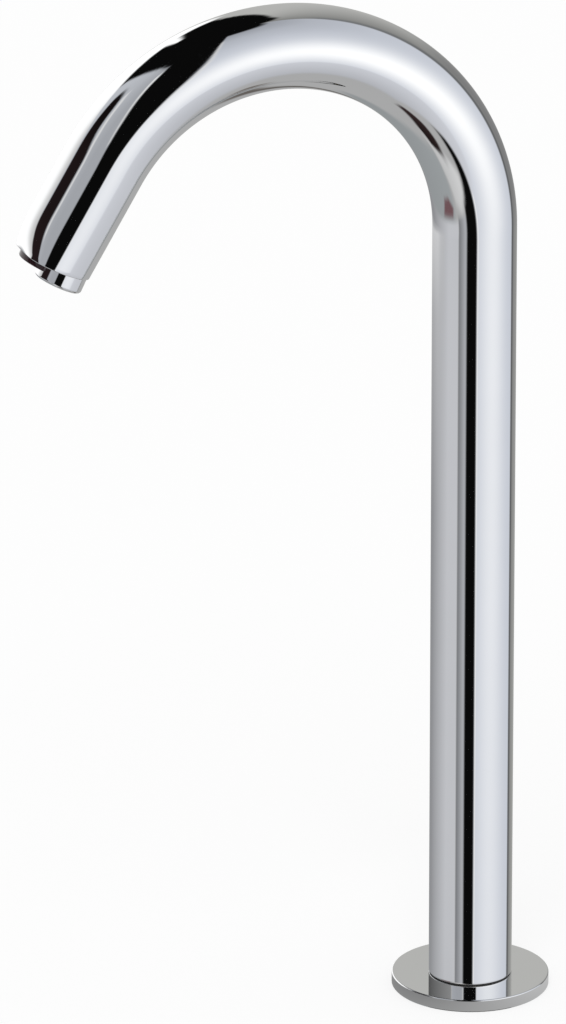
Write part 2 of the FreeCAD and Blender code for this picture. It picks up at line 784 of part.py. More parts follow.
def aerator_cartridge():
    """A cup with a ring of jet holes through its deck and an open skirt below it."""
    skirt = "(core_radius - core_wall)"
    outline = [
        ("0", CORE_HEAD),
        ("core_radius", CORE_HEAD),
        ("core_radius", CORE_FOOT),
        (skirt, CORE_FOOT),
        (skirt, f"{CORE_HEAD} + core_deck"),
        ("0", f"{CORE_HEAD} + core_deck"),
    ]
    body = turned("aerator_cartridge_body", outline)
    sketch = new_sketch(body, "jet_hole", "XY_Plane", f"{CORE_HEAD} - 1")
    draw_circle(sketch, "jet_radius", "jet_circle")
    before = body.Shape.Volume
    hole = body.newObject("PartDesign::Pocket", "jet_pocket")
    hole.Profile = sketch
    hole.Reversed = True
    bind(hole, "Length", "core_deck + 2")
    doc.recompute()
    assert body.Shape.Volume < before
    holes = body.newObject("PartDesign::PolarPattern", "jet_ring")
    holes.Originals = [hole]
    holes.Axis = (plane(body, "Z_Axis"), [""])
    holes.Angle = 360
    bind(holes, "Occurrences", "jet_count")
    body.Tip = holes
    doc.recompute()
    on_nose(body, "aerator_cartridge")


def outlet_screens():
    """Fine gauze discs inside the cartridge's skirt, above the outlet."""
    stack = None
    for number in range(int(SIZES["screen_count"])):
        foot = f"({CORE_FOOT} - {number} * screen_step)"
        disc = pillar(f"screen_{number}", SCREEN_RADIUS, f"{foot} - screen_height", foot)
        stack = disc if stack is None else fuse(stack, disc)
    keep(put(stack, RIM, "-nose_offset"), "outlet_screens")


# ---- the fixing below the deck ----
DECK_FOOT = "(-deck_thickness)"
RUBBER_FOOT = f"({DECK_FOOT} - rubber_washer_height)"
STEEL_FOOT = f"({RUBBER_FOOT} - steel_washer_height)"


def deck_washers():
    keep(ring("rubber_washer_body", "shank_radius + washer_gap", "rubber_washer_radius",
              RUBBER_FOOT, DECK_FOOT), "rubber_washer")
    keep(ring("steel_washer_body", "shank_radius + washer_gap", "steel_washer_radius",
              STEEL_FOOT, RUBBER_FOOT), "steel_washer")


def lock_nut():
    top = f"({STEEL_FOOT} - seat_gap)"
    foot = f"({top} - nut_height)"
    corner = "(nut_flats / 2 / cos(30))"
    prism = doc.addObject("Part::Prism", "nut_blank")
    prism.Polygon = 6
    bind(prism, "Circumradius", corner)
    bind(prism, "Height", "nut_height")
    put(prism, UPRIGHT, "0", "0", foot)
    bore = "shank_radius + thread_gap"
    outline = [
        (bore, foot),
        (f"{corner} - nut_chamfer", foot),
        (f"{corner} + nut_chamfer", f"{foot} + nut_chamfer"),
        (f"{corner} + nut_chamfer", f"{top} - nut_chamfer"),
        (f"{corner} - nut_chamfer", top),
        (bore, top),
    ]
    keep(common(prism, turned("nut_turning", outline)), "lock_nut")


base_flange()
foot_seals()
spout_tube()
foot_socket()
threaded_shank()
shank_plug()
inlet_nipple()
cable_gland()
water_hose()
sensor_lead()
ferrules()
outlet_block()
block_nipple()
block_screw()
sensor_case()
sensor_window()
sensor_board()
sensor_diodes()
case_potting()
lead_boot()
aerator_housing()
aerator_washer()
inlet_strainer()
flow_disc()
aerator_cartridge()
outlet_screens()
deck_washers()
lock_nut()
doc.recompute()

for item in doc.Objects:
    if "Invalid" in item.State or "Error" in item.State:
        raise RuntimeError(f"{item.Label} failed: {item.State}")
for item in PARTS:
    if item.Shape.isNull() or not item.Shape.isValid():
        raise RuntimeError(f"{item.Label} has no valid shape")

os.makedirs("parts", exist_ok=True)
for item in PARTS:
    item.Shape.exportStep(f"parts/{item.Label}.step")
    box = item.Shape.BoundBox
    print(f"{item.Label:18s} {len(item.Shape.Solids)} solid, {item.Shape.Volume:9.1f} mm3, "
          f"x {box.XMin:7.1f} to {box.XMax:6.1f}, z {box.ZMin:6.1f} to {box.ZMax:6.1f}")
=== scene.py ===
from functools import partialmethod
import json
import math

import bmesh
import bpy
import numpy as np
from mathutils import Matrix, Vector


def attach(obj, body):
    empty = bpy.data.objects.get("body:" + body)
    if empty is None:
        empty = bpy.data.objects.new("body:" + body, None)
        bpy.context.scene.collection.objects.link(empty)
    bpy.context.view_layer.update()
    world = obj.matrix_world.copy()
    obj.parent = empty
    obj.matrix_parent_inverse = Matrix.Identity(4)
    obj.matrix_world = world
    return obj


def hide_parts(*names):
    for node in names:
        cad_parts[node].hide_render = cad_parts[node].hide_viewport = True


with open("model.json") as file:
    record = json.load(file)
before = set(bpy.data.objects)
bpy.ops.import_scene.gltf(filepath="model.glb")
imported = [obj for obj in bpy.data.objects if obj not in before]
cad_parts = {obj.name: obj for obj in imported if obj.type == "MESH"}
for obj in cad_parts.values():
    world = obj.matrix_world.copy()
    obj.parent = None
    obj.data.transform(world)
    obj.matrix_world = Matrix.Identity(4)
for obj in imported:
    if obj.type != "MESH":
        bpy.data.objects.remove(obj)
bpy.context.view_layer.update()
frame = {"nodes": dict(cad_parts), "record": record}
print("solid model loaded")

millimetre = 0.001
sameSpot = 2e-6  # points this near are merged, in metres

# the bent tube, in millimetres and degrees
spout = {
    "radius": 14.0,
    "wall": 1.2,
    "foot": 4.8,
    "bendStart": 271.0,
    "bendRadius": 69.2,
    "bendAngle": 149.1,
    "tail": 36.6,
    "taper": 16.0,
    "squeeze": 1.512,
    "taperPower": 3,
    "sidePower": 4,  # how fast the squeeze fades round the tube
    "endTilt": 5.0,
    "noseAside": -5.7,
    "hoseAside": -3.8,
    "facesAround": 144,
    "bendStep": 1.5,
    "straightRows": (0.6, 2, 6, 20, 60, 110, 160, 210, 245),
    "tailRows": (1, 3, 5, 8, 11, 14, 17, 19),
    "rimRows": 12,
    "rimRowStep": 0.7,
    "rimRowStart": 27.5,
    "rimRound": 0.3,
    "boreRound": 0.2,
    "footRound": 0.2,
    "screwHole": 1.55,
    "screwSetback": 13.0,
    "screwRowStep": 0.8,
}


def placeInSpout(x, z, turn):
    # a place in the plane of the spout, turned about Y, in millimetres
    return Matrix.Translation((x, 0, z)) @ Matrix.Rotation(math.radians(turn), 4, "Y")


bend = math.radians(spout["bendAngle"])
tailX = spout["bendRadius"] * (math.cos(bend) - 1)
tailZ = spout["bendStart"] + spout["bendRadius"] * math.sin(bend)
rimX = tailX - spout["tail"] * math.sin(bend)
rimZ = tailZ + spout["tail"] * math.cos(bend)
upright = Matrix.Identity(4)
tailPlace = placeInSpout(tailX, tailZ, -spout["bendAngle"])
rimPlace = placeInSpout(rimX, rimZ, -spout["bendAngle"] - spout["endTilt"])
nosePlace = rimPlace @ Matrix.Translation((spout["noseAside"], 0, 0))
hosePlace = Matrix.Translation((spout["hoseAside"], 0, 0))
endSlope = math.tan(math.radians(spout["endTilt"]))
rimReach = (spout["radius"] - 2 * spout["squeeze"]) * endSlope
endSqueeze = spout["squeeze"] * (1 + rimReach / spout["taper"]) ** spout["taperPower"]


# meshes

def newMesh(name, verts, faces):
    mesh = bpy.data.meshes.new(name)
    mesh.from_pydata(verts, [], faces)
    mesh.polygons.foreach_set("use_smooth", [True] * len(mesh.polygons))
    return mesh


def addItem(name, data):
    item = bpy.data.objects.new(name, data)
    bpy.context.scene.collection.objects.link(item)
    return item


def settle(item):
    # keep what the modifiers make as a plain mesh
    ready = item.evaluated_get(bpy.context.evaluated_depsgraph_get())
    mesh = bpy.data.meshes.new_from_object(ready)
    item.modifiers.clear()
    item.data = mesh
    return item


def faceOutwards(mesh):
    mesh.calc_loop_triangles()
    spots = np.array([vertex.co[:] for vertex in mesh.vertices])
    corners = np.array([triangle.vertices[:] for triangle in mesh.loop_triangles])
    a, b, c = (spots[corners[:, side]] for side in range(3))
    if np.einsum("ij,ij->i", a, np.cross(b, c)).sum() < 0:
        mesh.flip_normals()


def addMesh(name, verts, faces, place=upright):
    # points are given in millimetres, in the frame of the place
    points = np.array([place @ Vector(vert) for vert in verts]) * millimetre
    item = addItem(name, newMesh(name, points.tolist(), faces))
    faceOutwards(item.data)
    return item


def shadeByAngle(item, angle=32):
    item.data.polygons.foreach_set("use_smooth", [True] * len(item.data.polygons))
    item.data.set_sharp_from_angle(angle=math.radians(angle))
    return item


def joinMeshes(item, *others):
    whole = bmesh.new()
    for part in (item, *others):
        whole.from_mesh(part.data)
    whole.to_mesh(item.data)
    whole.free()
    for part in others:
        bpy.data.objects.remove(part)
    return item


def gridRings(rows, columns):
    return [list(range(row * columns, (row + 1) * columns)) for row in range(rows)]


def bridge(rings, closed=True):
    # faces from each ring of points to the next one, where a ring may be one point
    faces = []
    for low, high in zip(rings, rings[1:]):
        for step in range(len(low) if closed else len(low) - 1):
            after = (step + 1) % len(low)
            face = tuple(dict.fromkeys((low[step], low[after], high[after], high[step])))
            if len(face) > 2:
                faces.append(face)
    return faces


def roundOff(outline, steps=5, support=0.04):
    # corners are (across, height, rounding), and a rounded one gets an arc between support points
    path = []
    for index, (x, z, size) in enumerate(outline):
        corner = Vector((x, z))
        if not size:
            path.append(corner)
            continue
        back = (Vector(outline[index - 1][:2]) - corner).normalized()
        ahead = (Vector(outline[(index + 1) % len(outline)][:2]) - corner).normalized()
        half = back.angle(ahead) / 2
        reach = size / math.tan(half)
        middle = corner + (back + ahead).normalized() * (size / math.sin(half))
        first = corner + back * reach - middle
        last = corner + ahead * reach - middle
        path.append(corner + back * (reach + support))
        for step in range(steps + 1):
            path.append(middle + first.lerp(last, step / steps).normalized() * size)
        path.append(corner + ahead * (reach + support))
    return path


def lathe(name, outline, place=upright, around=128, steps=5, shape=None):
    # shape may change the radius at a point, given as radius, height and angle
    verts, rings = [], []
    for x, z in roundOff(outline, steps):
        if x < 1e-6:
            rings.append([len(verts)] * around)
            verts.append((0, 0, z))
            continue
        rings.append(list(range(len(verts), len(verts) + around)))
        for step in range(around):
            angle = 2 * math.pi * step / around
            size = shape(x, z, angle) if shape else x
            verts.append((size * math.cos(angle), size * math.sin(angle), z))
    return addMesh(name, verts, bridge([*rings, rings[0]]), place)


def band(inner, outer, low, high, innerRound, outerRound):
    # the outline of a plain ring
    return [(inner, low, innerRound), (outer, low, outerRound), (outer, high, outerRound),
            (inner, high, innerRound)]


def hexagon(flats, angle):
    # the reach of a hexagon with a corner at angle 0
    return flats / 2 / math.cos(angle % (math.pi / 3) - math.pi / 6)


def stackOutlines(name, outlineAt, levels, place):
    # outlines with the same number of points, one above the other, closed at both ends
    stack = [[(x, y, height) for x, y in outlineAt(inset)] for inset, height in levels]
    count = len(stack[0])
    verts = [*sum(stack, []), *(np.mean(stack[end], axis=0).tolist() for end in (0, -1))]
    ends = ([len(verts) - back] * count for back in (2, 1))
    return addMesh(name, verts, bridge([next(ends), *gridRings(len(stack), count), next(ends)]),
                   place)


# node trees

class Term:
    # a number in a node tree, which plain arithmetic works on

    def __init__(self, tree, socket):
        self.tree = tree
        self.socket = socket

    def apply(self, operation, *others):
        node = addNode(self.tree, "ShaderNodeMath", [self, *others], operation=operation)
        return Term(self.tree, node.outputs[0])


for method, operation in {
    "__add__": "ADD", "__sub__": "SUBTRACT", "__mul__": "MULTIPLY", "__truediv__": "DIVIDE",
    "__pow__": "POWER", "__gt__": "GREATER_THAN", "atLeast": "MAXIMUM", "atMost": "MINIMUM",
    "roundUp": "CEIL", "cos": "COSINE", "sin": "SINE",
}.items():
    setattr(Term, method, partialmethod(Term.apply, operation))


def addNode(tree, kind, inputs=(), **settings):
    # inputs go by order or by name, and each is a value, or a node, socket or term to link
    node = tree.nodes.new(kind)
    for name, value in settings.items():
        setattr(node, name, value)
    for key, value in inputs.items() if isinstance(inputs, dict) else enumerate(inputs):
        if isinstance(value, bpy.types.Node):
            value = value.outputs[0]
        value = getattr(value, "socket", value)
        if isinstance(value, bpy.types.NodeSocket):
            tree.links.new(value, node.inputs[key])
        else:
            node.inputs[key].default_value = value
    return node


def newTree(name, kind, inputs, outputs):
    tree = bpy.data.node_groups.new(name, kind)
    for side, sockets in (("INPUT", inputs), ("OUTPUT", outputs)):
        for entry, what in sockets.items():
            tree.interface.new_socket(entry, in_out=side, socket_type="NodeSocket" + what)
    given = tree.nodes.new("NodeGroupInput")
    return tree, {socket.name: Term(tree, socket) for socket in given.outputs}


def shapeTree(name, sizes):
    # a geometry tree with a mesh, one number for each size and a material going in
    tree, given = newTree(name, "GeometryNodeTree", {
        "Geometry": "Geometry", **dict.fromkeys(sizes, "Float"), "Material": "Material",
    }, {"Geometry": "Geometry"})
    return tree, given, [given[size] for size in sizes]


def closeTree(tree, given, geometry):
    real = addNode(tree, "GeometryNodeRealizeInstances", [geometry])
    paint = addNode(tree, "GeometryNodeSetMaterial",
                    {"Geometry": real, "Material": given["Material"]})
    addNode(tree, "NodeGroupOutput", [paint])
    return tree


def splitPosition(tree):
    position = tree.nodes.new("GeometryNodeInputPosition")
    split = addNode(tree, "ShaderNodeSeparateXYZ", [position])
    return [Term(tree, socket) for socket in split.outputs]


def rayTerm(tree, name):
    return Term(tree, tree.nodes.new("ShaderNodeLightPath").outputs[name])


def objectSpot(tree):
    return tree.nodes.new("ShaderNodeTexCoord").outputs["Object"]


def movePoints(tree, geometry, socket, *where):
    # socket is Position or Offset
    join = addNode(tree, "ShaderNodeCombineXYZ", where)
    return addNode(tree, "GeometryNodeSetPosition", {"Geometry": geometry, socket: join})


def runTree(item, tree, sizes, material, plain=()):
    # sizes are in millimetres, apart from the plain ones
    modifier = item.modifiers.new(tree.name, "NODES")
    modifier.node_group = tree
    for entry in tree.interface.items_tree:
        if entry.in_out == "INPUT" and entry.name in sizes:
            scale = 1 if entry.name in plain else millimetre
            modifier[entry.identifier] = sizes[entry.name] * scale
        if entry.in_out == "INPUT" and entry.name == "Material":
            modifier[entry.identifier] = material
    return settle(item)


def moveMesh(item, place):
    # the place is in millimetres and the mesh in metres
    inMetres = place.copy()
    inMetres.translation *= millimetre
    item.data.transform(inMetres)
    faceOutwards(item.data)


def threadTree():
    # rolls a flat sheet up, winds the marked rows into a thread, and runs it out at its ends
    tree, given, (pitch, bottom, top, root, runOut) = shapeTree(
        "windThread", ("Pitch", "Bottom", "Top", "Root Radius", "Run Out"))
    height, around, radius = splitPosition(tree)
    marked = addNode(tree, "GeometryNodeInputNamedAttribute", {"Name": "wound"},
                     data_type="FLOAT")
    wound = Term(tree, marked.outputs[0])
    climbing = (height + around / (2 * math.pi) * pitch).atLeast(bottom).atMost(top)
    depth = ((climbing - bottom).atMost(top - climbing) / runOut).atMost(1)
    size = radius + (root + (radius - root) * depth - radius) * wound
    moved = movePoints(tree, given["Geometry"], "Position", size * around.cos(),
                       size * around.sin(), height + (climbing - height) * wound)
    merged = addNode(tree, "GeometryNodeMergeByDistance", {"Geometry": moved, "Distance": sameSpot})
    return closeTree(tree, given, merged)


windThread = threadTree()
threadProfile = ((0.06, 0), (0.44, 1), (0.56, 1), (0.94, 0))  # shares of the pitch and depth


def threaded(name, outline, thread, place=upright, around=72, shape=None):
    # turned from its outline, with a thread that closes it from its last corner to its first
    root, bottom, top = outline[-1][0], outline[-1][1], outline[0][1]
    pitch = thread["pitch"]
    rows = [(z, x) for x, z in roundOff(outline, 4)]
    plainRows = len(rows)
    for turn in range(-1, math.ceil((top - bottom) / pitch) + 1):
        for share, cut in threadProfile:
            rows.append((bottom + (turn + share) * pitch, root + cut * (thread["crest"] - root)))
    verts = []
    for height, radius in rows:
        for step in range(around + 1):
            angle = 2 * math.pi * step / around
            size = shape(radius, height, angle) if shape else radius
            verts.append((height * millimetre, angle, size * millimetre))
    rings = gridRings(len(rows), around + 1)
    mesh = newMesh(name, verts, bridge([*rings, rings[0]], closed=False))
    marks = mesh.attributes.new("wound", "FLOAT", "POINT")
    marks.data.foreach_set("value", [float(row >= plainRows) for row in range(len(rows))
                                     for _ in range(around + 1)])
    item = runTree(addItem(name, mesh), windThread, {
        "Pitch": pitch, "Bottom": bottom, "Top": top, "Root Radius": root,
        "Run Out": thread["runOut"],
    }, finishOf(name))
    moveMesh(item, place)
    return shadeByAngle(item)


# materials

def surfaceGroup():
    # a finish that varies a little over the surface: colour, roughness and height
    tree, given = newTree("variedFinish", "ShaderNodeTree", {
        "Vector": "Vector", "Colour": "Color", "Worn Colour": "Color", "Scale": "Float",
        "Wear": "Float", "Roughness": "Float", "Roughness Spread": "Float",
    }, {"Colour": "Color", "Roughness": "Float", "Height": "Float"})
    broad, fine = (Term(tree, addNode(tree, "ShaderNodeTexNoise", {
        "Vector": given["Vector"], "Scale": scale, "Detail": detail, "Roughness": rough,
    }).outputs[0]) for scale, detail, rough in (
        (given["Scale"], 3.0, 0.6), (given["Scale"] * 9.0, 2.0, 0.5)))
    mix = addNode(tree, "ShaderNodeMix", data_type="RGBA", inputs={
        "Factor": broad * given["Wear"], "A": given["Colour"], "B": given["Worn Colour"]})
    addNode(tree, "NodeGroupOutput", {
        "Colour": mix.outputs["Result"], "Height": fine,
        "Roughness": broad * given["Roughness Spread"] + given["Roughness"]})
    return tree


variedFinish = surfaceGroup()


def toLinear(value):
    value = np.asarray(value)
    return np.where(value <= 0.04045, value / 12.92, ((value + 0.055) / 1.055) ** 2.4)


# the finish of each slot in the solid model's record, and what can be changed of it; stretch
# runs the pattern out along x, y and z
finishes = {
    "mirrorChrome": {
        "slot": "chrome", "colour": (0.93, 0.935, 0.94), "wornColour": (0.9, 0.905, 0.91),
        "metallic": 1.0, "roughness": 0.025, "spread": 0.02, "scale": 60, "wear": 1.0,
    },
    "machinedBrass": {
        "slot": "brass", "colour": (0.78, 0.6, 0.32), "wornColour": (0.62, 0.44, 0.2),
        "metallic": 1.0, "roughness": 0.18, "spread": 0.14, "scale": 140, "wear": 0.8, "bump": 0.04,
        "stretch": (1, 1, 9),
    },
    "brushedSteel": {
        "slot": "steel", "colour": (0.64, 0.65, 0.66), "wornColour": (0.5, 0.51, 0.52),
        "metallic": 1.0, "roughness": 0.24, "spread": 0.12, "scale": 160, "wear": 0.8, "bump": 0.05,
        "stretch": (1, 1, 8),
    },
    "blackRubber": {
        "slot": "black_rubber", "colour": (0.028, 0.028, 0.029),
        "wornColour": (0.055, 0.054, 0.053), "roughness": 0.62, "spread": 0.2, "scale": 220,
        "wear": 0.7, "bump": 0.12,
    },
    "blackPlastic": {
        "slot": "black_plastic", "colour": (0.03, 0.03, 0.034), "wornColour": (0.05, 0.05, 0.055),
        "roughness": 0.38, "spread": 0.14, "scale": 180, "wear": 0.6, "bump": 0.08,
    },
    "whiteAcetal": {
        "slot": "white_plastic", "colour": (0.8, 0.81, 0.8), "wornColour": (0.7, 0.71, 0.69),
        "roughness": 0.34, "spread": 0.1, "scale": 160, "wear": 0.5, "bump": 0.05,
    },
    "amberAcetal": {
        "slot": "amber_plastic", "colour": (0.7, 0.4, 0.11), "wornColour": (0.58, 0.3, 0.08),
        "roughness": 0.34, "spread": 0.1, "scale": 160, "wear": 0.5, "bump": 0.05,
    },
    "darkWindow": {
        "slot": "dark_window", "colour": (0.02, 0.01, 0.012), "wornColour": (0.034, 0.014, 0.018),
        "roughness": 0.06, "spread": 0.05, "scale": 120, "wear": 0.6,
    },
    "clearDiode": {
        "slot": "clear_diode", "colour": (0.62, 0.7, 0.8), "wornColour": (0.52, 0.6, 0.72),
        "roughness": 0.05, "spread": 0.05, "scale": 300, "wear": 0.6, "transmission": 0.7,
    },
    "redDiode": {
        "slot": "red_diode", "colour": (0.65, 0.05, 0.05), "wornColour": (0.5, 0.03, 0.03),
        "roughness": 0.06, "spread": 0.05, "scale": 300, "wear": 0.6, "transmission": 0.4,
    },
    "greenBoard": {
        "slot": "board", "colour": (0.04, 0.22, 0.1), "wornColour": (0.03, 0.16, 0.08),
        "roughness": 0.35, "spread": 0.12, "scale": 260, "wear": 0.9, "bump": 0.05,
    },
    "milkyHose": {
        "slot": "hose", "colour": (0.74, 0.76, 0.77), "wornColour": (0.64, 0.67, 0.69),
        "roughness": 0.42, "spread": 0.12, "scale": 120, "wear": 0.7, "bump": 0.06,
    },
    "fibreSeal": {
        "slot": "seal", "colour": (0.35, 0.08, 0.06), "wornColour": (0.24, 0.05, 0.04),
        "roughness": 0.7, "spread": 0.16, "scale": 500, "wear": 0.9, "bump": 0.2,
    },
}


def makeFinish(name, look):
    material = bpy.data.materials.new(name)
    material.use_nodes = True
    tree = material.node_tree
    shader = tree.nodes["Principled BSDF"]
    shader.inputs["Metallic"].default_value = look.get("metallic", 0.0)
    if "transmission" in look:
        shader.inputs["Transmission Weight"].default_value = look["transmission"]
    mapping = addNode(tree, "ShaderNodeMapping", {
        "Vector": objectSpot(tree), "Scale": look.get("stretch", (1, 1, 1))})
    group = addNode(tree, "ShaderNodeGroup", node_tree=variedFinish, inputs={
        "Vector": mapping, "Colour": (*look["colour"], 1),
        "Worn Colour": (*look["wornColour"], 1), "Scale": look["scale"], "Wear": look["wear"],
        "Roughness": look["roughness"], "Roughness Spread": look["spread"]})
    tree.links.new(group.outputs["Colour"], shader.inputs["Base Color"])
    tree.links.new(group.outputs["Roughness"], shader.inputs["Roughness"])
    if "bump" in look:
        bump = addNode(tree, "ShaderNodeBump", {
            "Strength": look["bump"], "Distance": 0.0002, "Height": group.outputs["Height"]})
        tree.links.new(bump.outputs["Normal"], shader.inputs["Normal"])
    return material


finish = {look["slot"]: makeFinish(name, look) for name, look in finishes.items()}
print("finishes made")

# what the solid model's record says of each node
nodeSlot = {part["node"]: part["material_slot"] for part in frame["record"]["subparts"]}
nodeBody = {node: body for body, nodes in frame["record"]["behaviour"]["bodies"].items()
            for node in nodes}
# pieces that aren't named as their nodes are
otherNode = {
    "deckFlange": "base_flange",
    "outletSleeve": "aerator_housing",
    "outletGauze": "outlet_screens",
}


def nodeOf(name):
    spelled = "".join("_" + letter.lower() if letter.isupper() else letter for letter in name)
    return otherNode.get(name, spelled)


def finishOf(name):
    return finish[nodeSlot[nodeOf(name)]]


def finishPiece(item):
    # the piece takes the place, the body and the finish of its node
    node = nodeOf(item.name)
    item.data.materials.clear()
    item.data.materials.append(finishOf(item.name))
    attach(item, nodeBody[node])
    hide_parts(node)
    return item


def turned(name, outline, thread=None, sharp=None, **how):
    # a finished piece, turned from its outline, with hard edges past the angle sharp
    item = threaded(name, outline, thread, **how) if thread else lathe(name, outline, **how)
    return finishPiece(shadeByAngle(item, sharp) if sharp else item)


# the spout: a flat, unrolled tube wall that a tree rolls up and bends along its route

def spoutSheet():
    rise = spout["bendStart"] - spout["foot"]
    tailStart = rise + spout["bendRadius"] * bend
    end = tailStart + spout["tail"]
    holeAt = end - spout["screwSetback"]
    wall, rim, bore = spout["wall"], spout["rimRound"], spout["boreRound"]
    foot, around = spout["footRound"], spout["facesAround"]
    bendRows = round(spout["bendAngle"] / spout["bendStep"]) + 1
    rows = [*spout["straightRows"], rise - 6, rise - 1]
    rows += np.linspace(rise, tailStart, bendRows).tolist()
    rows += [tailStart + step for step in spout["tailRows"]]
    firstHole, lastHole = len(rows), len(rows) + 8
    rows += [holeAt + step * spout["screwRowStep"] for step in range(-4, 5)]
    rows += [tailStart + spout["rimRowStart"] + step * spout["rimRowStep"]
             for step in range(spout["rimRows"])]
    # once round the wall: up outside, over the rim, down inside, under the foot
    arc = [math.radians(step * 15) for step in range(7)]
    loop = [(foot * (1 - math.sin(a)), foot * (1 - math.cos(a))) for a in reversed(arc)]
    outer = len(loop)
    loop += [(row, 0) for row in rows]
    loop += [(end - rim * (1 - math.sin(a)), rim * (1 - math.cos(a))) for a in arc]
    loop += [(end, rim + 0.05), (end, wall - bore - 0.05)]
    loop += [(end - bore * (1 - math.cos(a)), wall - bore * (1 - math.sin(a))) for a in arc]
    inner = len(loop) + len(rows) - 1
    loop += [(row, wall) for row in reversed(rows)] + [(0.0, wall)]
    verts = [(along, 2 * math.pi * step / around, depth)
             for along, depth in loop for step in range(around)]
    firstColumn, lastColumn = around // 2 - 6, around // 2 + 6
    holes = {(row, column) for hole in range(firstHole, lastHole)
             for row in (outer + hole, inner - hole - 1)
             for column in range(firstColumn, lastColumn)}
    rings = gridRings(len(loop), around)
    faces = [face for index, face in enumerate(bridge([*rings, rings[0]]))
             if divmod(index, around) not in holes]

    def patch(start, way, depth):
        # rings of points from the square gap in the grid to the round hole
        border = [(firstHole, c) for c in range(firstColumn, lastColumn)]
        border += [(r, lastColumn) for r in range(firstHole, lastHole)]
        border += [(lastHole, c) for c in range(lastColumn, firstColumn, -1)]
        border += [(r, firstColumn) for r in range(lastHole, firstHole, -1)]
        rings = [[(start + way * r) * around + c for r, c in border]]
        size = spout["radius"] - depth
        edge = np.array([(verts[v][0] - holeAt, (verts[v][1] - math.pi) * size)
                         for v in rings[0]])
        hole = edge / np.hypot(*edge.T)[:, None] * spout["screwHole"]
        for share in (0.25, 0.5, 0.72, 0.88, 0.97, 1.0):
            rings.append(list(range(len(verts), len(verts) + len(border))))
            verts.extend((holeAt + a, math.pi + b / size, depth)
                         for a, b in (edge + (hole - edge) * share).tolist())
        faces.extend(face if depth else face[::-1] for face in bridge(rings))
        return rings[-1]

    tunnel = bridge([patch(outer, 1, 0), patch(inner, -1, wall)])
    faces += [face[::-1] for face in tunnel]
    return [(a * millimetre, b, c * millimetre) for a, b, c in verts], faces


def rollTree(sizes):
    tree, given, (foot, rise, bendRadius, bendAngle, radius, wall, tail, taper, power, sidePower,
                  squeeze, slope) = shapeTree("rollSpout", sizes)
    along, around, depth = splitPosition(tree)
    turn = ((along - rise) / bendRadius).atLeast(0).atMost(bendAngle)
    down = (along - rise - bendRadius * bendAngle).atLeast(0)
    taperStart = tail - taper
    slanted = ((down - taperStart) / taper).atLeast(0).atMost(1)

    # the outer skin is pressed in on its outward side only, the bore all round its circle
    inward = depth / wall
    facing = around.cos().atLeast(0)
    pinch = facing ** sidePower * 2 * (inward * -1 + 1) + (around.cos() + 1) * inward

    def outwardAt(narrowing):
        return (radius - depth) * around.cos() - narrowing * pinch

    # the slant moves a point along the tail, which changes how far it is squeezed in
    roughShare = (outwardAt(squeeze) * slope) / taper + 1
    rimOutward = outwardAt(squeeze * roughShare ** power)
    reach = down + slanted * rimOutward * slope
    share = ((reach - taperStart) / taper).atLeast(0)
    narrowing = squeeze * share ** power
    out = bendRadius + outwardAt(narrowing)
    moved = movePoints(
        tree, given["Geometry"], "Position",
        out * turn.cos() - bendRadius - reach * turn.sin(),
        (radius - depth - narrowing * inward) * around.sin(),
        foot + along.atMost(rise) + out * turn.sin() + reach * turn.cos())
    return closeTree(tree, given, moved)


def makeSpout():
    sizes = {
        "Foot": spout["foot"],
        "Rise": spout["bendStart"] - spout["foot"],
        "Bend Radius": spout["bendRadius"],
        "Bend Angle": bend,
        "Tube Radius": spout["radius"],
        "Wall": spout["wall"],
        "Tail Length": spout["tail"],
        "Taper Length": spout["taper"],
        "Taper Power": spout["taperPower"],
        "Side Power": spout["sidePower"],
        "Squeeze": spout["squeeze"],
        "End Slope": endSlope,
    }
    sheet = addItem("spoutTube", newMesh("spoutTube", *spoutSheet()))
    finishPiece(runTree(sheet, rollTree(sizes), sizes, finishOf("spoutTube"),
                        plain=("Bend Angle", "Taper Power", "Side Power", "End Slope")))


makeSpout()
print("spout rolled up")

# the foot: flange, its gasket and the thin dark ring under the tube, whose black also serves as
# painted shade: the shadow line at the tube's foot
flange = {
    "radius": 26.5,
    "height": 4.4,
    "bore": 11.25,
    "topRound": 0.4,
    "footChamfer": 0.4,
    "gasketInner": 15.0,
    "gasketOuter": 24.0,
    "gasketHeight": 1.6,
    "gap": 0.15,
    "ringRadius": 13.7,
    "ribs": 4,
    "ribStart": 1.2,
    "ribStep": 2.0,
    "ribWidth": 1.0,
    "ribSlope": 0.2,
    "ribDepth": 0.3,
    "edge": 0.1,
}


def makeFoot():
    inner, outer, deep = flange["gasketInner"], flange["gasketOuter"], flange["gasketHeight"]
    radius, height, bore = flange["radius"], flange["height"], flange["bore"]
    gap, chamfer, edge = flange["gap"], flange["footChamfer"], flange["edge"]
    plate = turned("deckFlange", [
        (bore, 0, edge), (inner - gap, 0, edge), (inner - gap, deep, edge),
        (outer + gap, deep, edge), (outer + gap, 0, edge), (radius - chamfer, 0, edge),
        (radius, chamfer, edge), (radius, height, flange["topRound"]), (bore, height, edge),
    ], around=192, steps=7)
    ribs = [(inner, deep, edge), (inner, 0, edge)]
    slope, rib = flange["ribSlope"], flange["ribDepth"]
    for step in range(flange["ribs"]):
        start = inner + flange["ribStart"] + step * flange["ribStep"]
        end = start + flange["ribWidth"]
        ribs += [(start, 0, edge), (start + slope, rib, 0), (end - slope, rib, 0),
                 (end, 0, edge)]
    gasket = turned("deckGasket", [*ribs, (outer, 0, edge), (outer, deep, edge)], steps=3)
    for item in (plate, gasket):
        item.visible_glossy = False  # the tube's foot mirrors the room instead
    # a black ring set in from the tube's edge, which also stands in for the painted shadow line at
    # the tube's foot
    turned("footRing", band(bore, flange["ringRadius"], height, spout["foot"], edge, edge),
           steps=3)


makeFoot()
print("foot made")

